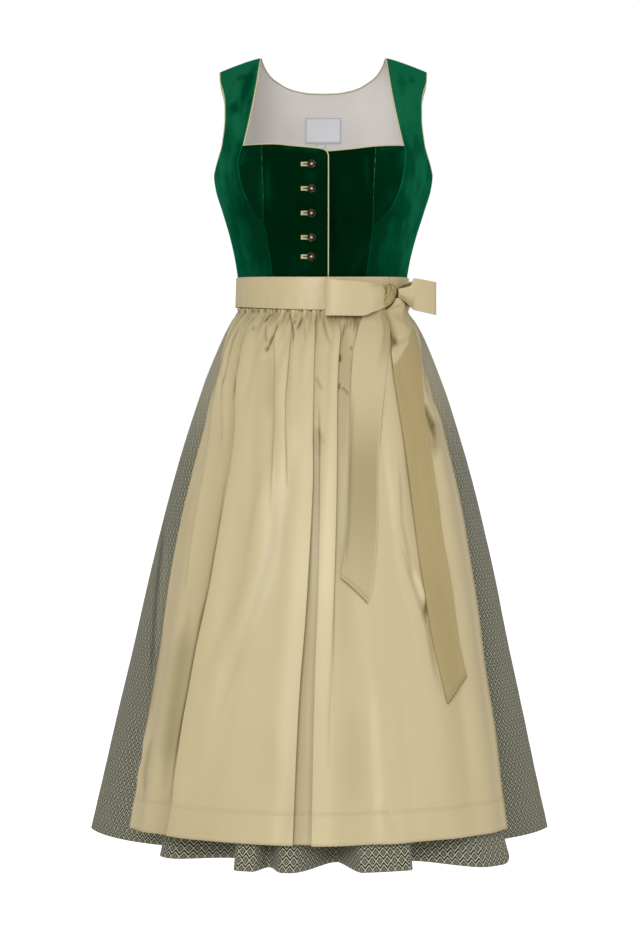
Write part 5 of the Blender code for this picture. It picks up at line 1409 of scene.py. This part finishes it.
sideTurn = 0.0007 * (1.0 - smooth(fromSide, 0.0, 0.012)) + sideWave * smooth(-apronHeight, 0.45, 0.55)
for height, rise, spread in a["edgeRipples"]:
    sideTurn = sideTurn + rise * np.exp(-((apronHeight - height) / spread) ** 2 - (apronShare / 0.05) ** 2)
puckers = bandPuckers(apronAngle, apronHeight)
apronOut = crest + apronGathers + apronBends + step - tugs + sideTurn + puckers
apronOut += 0.0008 * smooth(apronHeight, -0.372, a["top"])
lowest = -0.0002 - fullnessAt(fromSide, apronHeight, 0.07)
apronOut = np.maximum(apronOut, lowest - 0.001 * smooth(apronHeight, -0.4, -0.372))
apronPoints = apronSurface(apronAngle + crestShift, apronHeight, apronOut)
# the apron's painted shade and light: along the pleats, along the marks and in the puckers' hollows
apronLightAndShade = np.clip(crestShade + markTone + a["puckerShade"] * puckers / a["puckerDepth"], -1.0, 1.0)
addSheet("apronCloth", apronPoints, a["wall"], apronSatin, "gathered", ["skirtFront"], ("apron",),
         "apron_satin", tone=apronLightAndShade)
print("apron made", apronPoints.shape)


def stitchLine(places, faces, long, gap, radius):
    # short stitches lying along a line of places with their outward directions
    run = np.concatenate([[0.0], np.cumsum(np.linalg.norm(np.diff(places, axis=0), axis=-1))])
    stitches = []
    for begin in np.arange(gap, run[-1] - long, long + gap):
        at = np.linspace(begin, begin + long, 4)
        place = np.stack([np.interp(at, run, places[:, k]) for k in range(3)], axis=-1)
        face = unit(np.stack([np.interp(at, run, faces[:, k]) for k in range(3)], axis=-1))
        stitches.append(place + face * (radius * np.array([-0.2, 0.7, 0.7, -0.2]) + 0.0001)[:, None])
    return stitches


apronFaces = faceDirections(apronPoints)
hemStitches = []
for lift in a["stitchRows"]:
    row = int(np.argmin(np.abs(apronHeights - (a["hem"] + a["hemStitch"] + lift))))
    hemStitches += stitchLine(apronPoints[row], apronFaces[row], a["stitchLong"], a["stitchGap"],
                              a["stitchRadius"])
makeTube("apronHemStitches", hemStitches, a["stitchRadius"], stitchThread, sides=1,
         swell=[0.3, 1.0, 1.0, 0.3])

# waistband

bandForm = {
    "sections": ((-0.3663, 0.1275, 0.1022, 0.0925), (-0.3195, 0.1262, 0.1003, 0.091)),
    "top": -0.3195, "bottom": -0.3663, "seamAngle": 50.0, "wall": 0.0014, "sideRise": 0.0016,
    "endGap": 0.0004,
    # slanting wrinkles: angle, height to angle, height, width, how far they stand out
    "wrinkles": (
        (-62, -0.327, -48, -0.36, 0.9, 0.0004), (-30, -0.362, -22, -0.34, 0.8, 0.0004),
        (-8, -0.325, 6, -0.358, 1.0, 0.0005), (18, -0.33, 30, -0.352, 0.9, 0.0005),
        (66, -0.33, 74, -0.36, 0.9, 0.0005), (110, -0.328, 122, -0.36, 1.2, 0.0004),
        (165, -0.36, 180, -0.326, 1.2, 0.0004), (210, -0.326, 222, -0.362, 1.2, 0.0004)),
}
band = bandForm
bandShape = columnsOf(band["sections"], 1, 2, 3)


def bandPoint(angle, height, outward=0.0):
    # lower at the front; its lower edge rises a little over the hips
    point = ovalPoint(bandShape, angle, height, outward).copy()
    low = (band["top"] - height) / (band["top"] - band["bottom"])
    raised = band["sideRise"] * np.sin(np.radians(angle)) ** 2 + hipRise(angle)
    point[..., 2] += raised * low - frontDrop(angle)
    point[..., 0] *= 1.0 - b["leftWaist"] * 0.8 * smooth(point[..., 0], 0.0, 0.06)
    return point


trim = np.degrees(band["endGap"] / band["sections"][1][2])
bandAngles = np.linspace(band["seamAngle"] - 360.0 + trim, band["seamAngle"] - trim, 520)[None, :]
bandRises = np.concatenate([[0.0, 0.006, 0.02, 0.04], np.linspace(0.07, 0.93, 24), [0.96, 0.98, 0.994, 1.0]])
bandHeights = (band["bottom"] + (band["top"] - band["bottom"]) * bandRises)[:, None]
turned = np.minimum(bandHeights - band["bottom"], band["top"] - bandHeights)
bandOut = -0.0008 * (1.0 - np.minimum(turned / 0.0012, 1.0)) ** 2 + 0.0 * bandAngles
for a1, z1, a2, z2, width, rise in band["wrinkles"]:
    for turnBack in (0.0, -360.0):
        bandOut = bandOut + creases((bandAngles - turnBack) / 500.0, bandHeights,
                                    ((a1 / 500.0, z1, a2 / 500.0, z2, 0.0042 * width, rise),))
bandWaves = 0.00022 * np.sin(bandAngles * 0.9 + 3.0 * np.sin(bandAngles * 0.13))
bandOut = bandOut + bandWaves * smooth(-bandHeights, 0.335, 0.366)
bandPoints = bandPoint(bandAngles, bandHeights, bandOut)
addSheet("bandOfApron", bandPoints, band["wall"], bowSatin, "stretched", ["skirtFront", "skirtBack"],
         ("apron_band",), "band_satin")
print("band made")

# bow

bowForm = {
    "wall": 0.0011,
    # loop on the wearer's right: angle, outward at the low edge and at the high edge, low, high
    "loopLeft": (
        (42.4, 0.0044, 0.003, -0.359, -0.342), (38.0, 0.007, 0.0015, -0.364, -0.336),
        (30.0, 0.013, 0.0013, -0.369, -0.332), (20.0, 0.0115, 0.0013, -0.376, -0.33),
        (9.0, 0.0098, 0.0013, -0.377, -0.328), (3.0, 0.01, 0.0022, -0.3772, -0.3257),
        (1.2, 0.013, 0.0058, -0.3775, -0.3247), (3.0, 0.0156, 0.0096, -0.3777, -0.325),
        (9.0, 0.0176, 0.0126, -0.3779, -0.3272), (22.3, 0.0186, 0.0146, -0.3783, -0.3294),
        (28.6, 0.018, 0.0146, -0.3735, -0.3308), (36.0, 0.014, 0.012, -0.368, -0.3325),
        (41.4, 0.0095, 0.0088, -0.364, -0.342)),
    # loop on the wearer's left: across, depth, low, high
    "loopRight": (
        (0.0998, 0.0661, -0.353, -0.34), (0.106, 0.0578, -0.356, -0.335), (0.116, 0.048, -0.36, -0.3285),
        (0.127, 0.0435, -0.364, -0.3262), (0.143, 0.0395, -0.37, -0.3255),
        (0.1585, 0.037, -0.3735, -0.3268), (0.1612, 0.0405, -0.374, -0.3276),
        (0.159, 0.045, -0.3738, -0.3272), (0.144, 0.056, -0.3712, -0.3248), (0.129, 0.0645, -0.368, -0.323),
        (0.1245, 0.0665, -0.364, -0.333), (0.113, 0.0688, -0.354, -0.337), (0.1063, 0.0698, -0.35, -0.338)),
    # knot: height, centre and half width across, half depth
    "knot": (
        (-0.331, 0.0946, 0.006, 0.0052), (-0.336, 0.0962, 0.0068, 0.0066), (-0.342, 0.0965, 0.0072, 0.0074),
        (-0.348, 0.095, 0.0077, 0.0074), (-0.354, 0.0916, 0.0086, 0.0072), (-0.36, 0.0878, 0.0082, 0.0064),
        (-0.365, 0.0832, 0.0052, 0.005), (-0.3688, 0.0798, 0.0018, 0.003)),
    # the knot's slope is how its depth follows its place across
    "knotDepth": -0.0772, "knotShade": -0.26, "knotSlope": 0.55,
    # tails: height, both edges in degrees, and how much lighter the cloth lies
    "tailLeft": (
        (-0.364, 31.0, 42.0), (-0.3762, 23.0, 39.6), (-0.3925, 18.8, 38.0), (-0.41, 16.2, 35.2),
        (-0.4275, 14.2, 32.6), (-0.4496, 12.9, 29.6), (-0.468, 12.0, 27.6), (-0.514, 10.8, 23.9),
        (-0.584, 9.1, 20.3), (-0.686, 7.3, 17.4), (-0.737, 5.6, 15.6), (-0.771, 4.4, 13.4)),
    "tailRight": (
        (-0.35, 50.0, 52.0), (-0.3555, 49.0, 60.1), (-0.364, 44.1, 65.6), (-0.37, 39.8, 65.2),
        (-0.381, 38.8, 61.6), (-0.395, 37.9, 58.5), (-0.4147, 36.4, 56.4), (-0.4273, 33.9, 54.9),
        (-0.444, 33.2, 52.2), (-0.468, 32.2, 48.4), (-0.527, 32.0, 45.0), (-0.603, 31.8, 43.4),
        (-0.715, 31.7, 42.2), (-0.769, 32.0, 42.4), (-0.823, 32.9, 42.4), (-0.874, 34.3, 43.5),
        (-0.908, 35.3, 44.5)),
    "cutLeft": (0.034, 0.0), "cutRight": (0.0, 0.034),      # how far above the tip each corner lies
    "tailGap": 0.0016, "bandFace": 0.0062,      # the band's face above the skirt's plain form
}
w = bowForm


def columnByIndex(rows, k):
    return curveThrough([(index, row[k]) for index, row in enumerate(rows)])


def foldsFromKnot(share, run, lines):
    # creases that fan out from the knot: share across the ribbon at the knot and further out, reach, rise
    total = np.zeros(np.broadcast(share, run).shape)
    for near, far, reach, width, rise in lines:
        middle = mix(near, far, np.minimum(run / reach, 1.5))
        spread = width * (0.35 + run / reach)
        total += rise * bell(share - middle, spread) * (1.0 - smooth(run, 0.35 * reach, reach))
    return total


def loopGrid(rows, reach):
    # places along and across a loop, how far each lies from the knot, and the rows' own curves
    index = np.linspace(0, len(rows) - 1, 150)[:, None]
    curves = [columnByIndex(rows, k)(index) for k in range(len(rows[0]))]
    return index, np.linspace(0.0, 1.0, 44)[None, :], np.abs(len(rows) - 1 - index) / reach, curves


def addLoop(word, points, tone):
    addSheet("bowLoop_" + word, np.swapaxes(points, 0, 1), w["wall"], bowSatin, "folded", ["bandOfApron"],
             ("bow_loop_" + word,), "loop_%s_satin" % word, side=0.0, tone=np.swapaxes(tone, 0, 1))


def addLoops():
    index, rise, knotRun, (angle, lowOut, highOut, low, high) = loopGrid(w["loopLeft"], 6.0)
    outward = mix(highOut, lowOut, (1.0 - rise) ** 2)
    pleats = foldsFromKnot(rise, knotRun, ((0.22, 0.12, 0.65, 0.08, -0.0008), (0.8, 0.93, 0.6, 0.07, -0.001),
                                           (0.5, 0.45, 0.4, 0.1, 0.0005)))
    belly = 0.0012 * np.sin(np.pi * rise) * smooth(index, 6.0, 8.5) * (1.0 - smooth(index, 10.5, 12.0))
    points = bandPoint(angle, mix(low, high, rise), outward + pleats + belly)
    points[..., 2] += frontDrop(angle)
    # painted shade along the top edge towards the knot, and painted light at the knot's end
    shaded = -0.3 * bell(rise - 0.93, 0.06) * smooth(index, 9.4, 10.6)
    addLoop("left", points, shaded + 0.1 * smooth(index, 10.4, 11.4))
    index, rise, knotRun, (across, depth, low, high) = loopGrid(w["loopRight"], 5.5)
    pleats = foldsFromKnot(rise, knotRun, ((0.3, 0.1, 0.7, 0.12, -0.0014), (0.62, 0.55, 0.6, 0.08, 0.0008)))
    points = np.stack(np.broadcast_arrays(across, -depth, mix(low, high, rise)), axis=-1)
    outward = np.array([0.5, -0.87, 0.0])
    points = points + outward * (pleats + 0.001 * np.sin(np.pi * rise) * smooth(index, 6.5, 8.5))[..., None]
    # painted shade on the back layer except along its top edge, and low on the front near the knot
    inner = -0.85 * (1.0 - smooth(index, 4.0, 5.6)) * (1.0 - smooth(rise, 0.92, 0.96))
    addLoop("right", points, inner - 0.5 * smooth(index, 8.6, 9.6) * (1.0 - smooth(rise, 0.1, 0.55)))


def addKnot():
    # a ball shaped into the slanting wrap of the ribbon, drawn out at its lower end
    centre, half, deep = columnsOf(w["knot"], 1, 2, 3)
    ball, up, turn = newBall(96, 84)
    closing = np.sqrt(np.clip((1.0 - np.abs(up)) / 0.16, 0.0, 1.0))
    low, high = w["knot"][-1][0], w["knot"][0][0]
    height = mix(low, high, (up + 1.0) / 2.0)
    x = np.sign(np.cos(turn)) * np.abs(np.cos(turn)) ** 0.75 * closing
    y = np.sign(np.sin(turn)) * np.abs(np.sin(turn)) ** 0.75 * closing
    slant = x + 1.6 * up
    second = x - 0.5 * up + 0.42
    fold = -0.16 * bell(slant - 0.95, 0.1) - 0.13 * bell(second, 0.09) + 0.07 * bell(slant + 0.2, 0.3)
    across = centre(height) + half(height) * x
    depth = w["knotDepth"] + w["knotSlope"] * (across - w["knot"][2][1]) + deep(height) * y * (1.0 + fold)
    # painted shade over the whole knot, deeper along its folds and towards its sides, a little less across
    # its middle
    shade = (w["knotShade"] - 0.5 * bell(slant - 0.95, 0.11) - 0.5 * bell(second, 0.1)
             + 0.14 * bell(slant + 0.2, 0.35) - 0.25 * smooth(np.abs(x), 0.8, 1.0))
    mesh = shapedBall("bowKnot", ball, np.stack([across, depth, height], axis=-1))
    addTone(mesh, shade)
    piece = newPiece("bowKnot", mesh, dullSatin)
    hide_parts("bow_knot")


def clothBelow(angle, height):
    # how far the apron, or the band above it, stands off the skirt's plain form under each place
    apronAt = apronAngle + crestShift
    fromEdge = np.minimum(apronAngle - leftEdge, rightEdge - apronAngle)
    full = a["clearance"] + fullnessAt(fromEdge, apronHeight, a["edgeReach"]) + apronOut
    total = np.zeros(angle.shape)
    for k in range(len(height)):
        near = np.abs(apronHeights - height[k]) < 0.012
        step = (apronAt[near][None] - angle[k][:, None, None]) / 1.6
        total[k] = np.where(np.abs(step) < 1.0, full[near][None], 0.0).max(axis=(1, 2), initial=0.0)
    over = smooth(height, -0.376, -0.3665)[:, None]
    return np.maximum(total * (1.0 - over), w["bandFace"] * over)


def addTail(name, rows, ends, material, node, slot, lines, tone, bulge):
    left, right = columnsOf(rows, 1, 2)
    start, end = rows[0][0], rows[-1][0]
    share = np.concatenate([[0.0, 0.01, 0.03], np.linspace(0.06, 0.94, 50), [0.97, 0.99, 1.0]])[None, :]
    drop = np.linspace(1.0, 0.0, 190)[:, None]
    height = mix(start, end + mix(ends[0], ends[1], share), drop)
    angle = mix(left(height), right(height), share)
    below = clothBelow(angle, height.mean(axis=1))
    stiff = np.maximum(below, 0.65 * below.max(axis=1, keepdims=True) + 0.35 * below)
    stiff = np.stack([stiff[max(k - 4, 0):k + 5].max(axis=0) for k in range(len(stiff))])
    for _ in range(3):
        stiff[2:-2] = (stiff[:-4] + stiff[1:-3] + stiff[2:-2] + stiff[3:-1] + stiff[4:]) / 5.0
    raised = np.maximum(stiff, below) + w["tailGap"] + bulge(share, height)
    fall = (start - height) / (start - end)
    raised = raised + foldsFromKnot(share, fall, lines)
    edge = np.minimum(share, 1.0 - share)
    raised = raised + 0.0001 * (1.0 - smooth(edge, 0.0, 0.05))
    points = skirtPlain(angle, height, raised)
    fromEnd = (1.0 - drop) * (start - end)
    # a darker line along the hem above the cut end, and painted shade right at the end
    hem = -0.22 * bell(fromEnd - 0.0064, 0.0018) - 0.75 * bell(fromEnd, 0.0016)
    addSheet(name, points, w["wall"], material, "hung", ["apronCloth"], (node,), slot,
             tone=tone(share, height) + hem)


def leftBulge(share, height):
    middle = 0.0022 * smooth(height, -0.46, -0.38) * np.sin(np.pi * share)
    return middle + 0.0012 * smooth(height, -0.4, -0.368)


def rightBulge(share, height):
    # the ribbon comes rounded from under the knot
    rounded = 0.0062 * smooth(height, -0.47, -0.39) * np.sin(np.pi * share) ** 0.7
    tuck = -0.003 * bell(height + 0.416 - 0.02 * share, 0.004) * smooth(share, 0.02, 0.2)
    tuck = tuck * (1.0 - smooth(share, 0.45, 0.75))
    return rounded + tuck + 0.0018 * smooth(height, -0.38, -0.36)


def leftTailTone(share, height):
    # painted shade: a stretch where the ribbon turns from the light, less at its edges, and strips along its
    # left edge and beside the other tail near the top
    dull = smooth(-height, 0.47, 0.6) * (1.0 - 0.55 * smooth(-height, 0.62, 0.76))
    edge = np.minimum(share, 1.0 - share)
    beside = -0.34 * smooth(share, 0.62, 0.86) * smooth(height, -0.46, -0.41)
    side = -0.4 * bell(share, 0.1) * smooth(-height, 0.47, 0.53)
    side = side * (1.0 - smooth(-height, 0.68, 0.74))
    return -0.44 * dull * smooth(edge, 0.0, 0.06) + beside + side


def rightTailTone(share, height):
    # the right side of the satin shows above the turn near the knot; the rest is painted shade: on a facet,
    # along the left edge, in the tuck, under the knot and at the top of the right edge
    turn = mix(-0.446, -0.396, smooth(share, 0.0, 0.75))
    top = smooth(height, turn - 0.004, turn + 0.004) * mix(0.92, 0.66, share)
    facet = -0.34 * bell(height + 0.379 + 0.036 * (share - 0.35), 0.007)
    facet = facet * smooth(share, 0.1, 0.35)
    edge = -1.4 * bell(share, 0.11) * smooth(height, -0.432, -0.41)
    edge = edge * (1.0 - smooth(height, -0.372, -0.366))
    tuck = -0.35 * bell(height + 0.417 - 0.02 * share, 0.003) * (1.0 - smooth(share, 0.3, 0.7))
    tuck = tuck - 0.8 * np.exp(-((height + 0.413) / 0.006) ** 2 - ((share - 0.06) / 0.09) ** 2)
    ruff = -0.7 * bell(height + 0.3655 - 0.016 * share, 0.0022)
    ruff = ruff * (1.0 - smooth(share, 0.25, 0.45))
    beside = -0.5 * smooth(share, 0.8, 1.0) * smooth(height, -0.375, -0.355)
    return top + facet + edge + tuck + ruff + beside


addLoops()
addKnot()
addTail("bowTail_left", w["tailLeft"], w["cutLeft"], bowSatin, "bow_tail_left", "tail_left_satin",
        ((0.84, 0.8, 0.3, 0.08, -0.0012),), leftTailTone, leftBulge)
addTail("bowTail_right", w["tailRight"], w["cutRight"], dullSatin, "bow_tail_right", "tail_right_satin",
        ((0.55, 0.4, 0.14, 0.1, 0.001),), rightTailTone, rightBulge)
print("bow made")

# floor, light and camera

studio = {
    "floor": -1.42, "floorColour": (0.95, 0.95, 0.95), "floorSpeck": (0.93, 0.93, 0.93), "ambient": 0.47,
    "floorGlow": 0.72, "key": 50.0, "keyPlace": (-0.6, -3.5, 0.5), "keySize": 1.6, "fill": 12.0,
    "fillPlace": (2.6, -2.0, 0.0), "fillSize": 2.0, "lightsAim": (0.0, 0.0, -0.55), "skyWhite": 1.02,
    "camera": (-0.0048, -3.4, -0.496), "lens": 90.5, "shift": -0.0713,
}
floorMesh = bpy.data.meshes.new("studioFloor")
floorGrid = bmesh.new()
bmesh.ops.create_grid(floorGrid, x_segments=24, y_segments=24, size=30.0)
for vertex in floorGrid.verts:
    vertex.co.z = studio["floor"]
floorGrid.to_mesh(floorMesh)
floorGrid.free()
floorFinish = Finish("floorPaint", 0.9, 0.1)
grain = floorFinish.noise(floorFinish.place(), 3.0, 3.0)
floorFinish.shader.inputs["Emission Color"].default_value = (1.0, 1.0, 1.0, 1.0)
seen = floorFinish.put("ShaderNodeLightPath").outputs["Is Camera Ray"]
glow = floorFinish.sum("MULTIPLY", seen, studio["floorGlow"])
floorFinish.wire(glow, floorFinish.shader.inputs["Emission Strength"])
speckle = floorFinish.ramp(grain, 0.3, 0.7, 0.0, 0.2)
floorFinish.colour(floorFinish.blend(speckle, studio["floorColour"], studio["floorSpeck"]))
floor = bpy.data.objects.new("studioFloor", floorMesh)
bpy.context.scene.collection.objects.link(floor)
floorMesh.materials.append(floorFinish.material)


def addArea(name, place, size, power):
    light = bpy.data.lights.new(name, "AREA")
    light.shape = "DISK"
    light.size = size
    light.energy = power
    lamp = bpy.data.objects.new(name, light)
    bpy.context.scene.collection.objects.link(lamp)
    lamp.location = place
    lamp.rotation_euler = (Vector(studio["lightsAim"]) - Vector(place)).to_track_quat("-Z", "Y").to_euler()


addArea("keyLight", studio["keyPlace"], studio["keySize"], studio["key"])
addArea("fillLight", studio["fillPlace"], studio["fillSize"], studio["fill"])
world = bpy.data.worlds.new("softWhite")
bpy.context.scene.world = world
world.use_nodes = True
worldTree = world.node_tree
background = worldTree.nodes["Background"]
path = worldTree.nodes.new("ShaderNodeLightPath")
strength = worldTree.nodes.new("ShaderNodeMapRange")
strength.inputs["To Min"].default_value = studio["ambient"]
strength.inputs["To Max"].default_value = studio["skyWhite"]
worldTree.links.new(path.outputs["Is Camera Ray"], strength.inputs["Value"])
worldTree.links.new(strength.outputs[0], background.inputs["Strength"])
background.inputs["Color"].default_value = (1.0, 1.0, 1.0, 1.0)

lens = bpy.data.cameras.new("photoCamera")
lens.lens = studio["lens"]
lens.sensor_width = 36.0
lens.shift_y = studio["shift"]
camera = bpy.data.objects.new("photoCamera", lens)
bpy.context.scene.collection.objects.link(camera)
camera.location = studio["camera"]
camera.rotation_euler = (math.radians(90.0), 0.0, 0.0)
bpy.context.scene.camera = camera
bpy.context.scene.view_settings.view_transform = "Standard"
print("studio made")
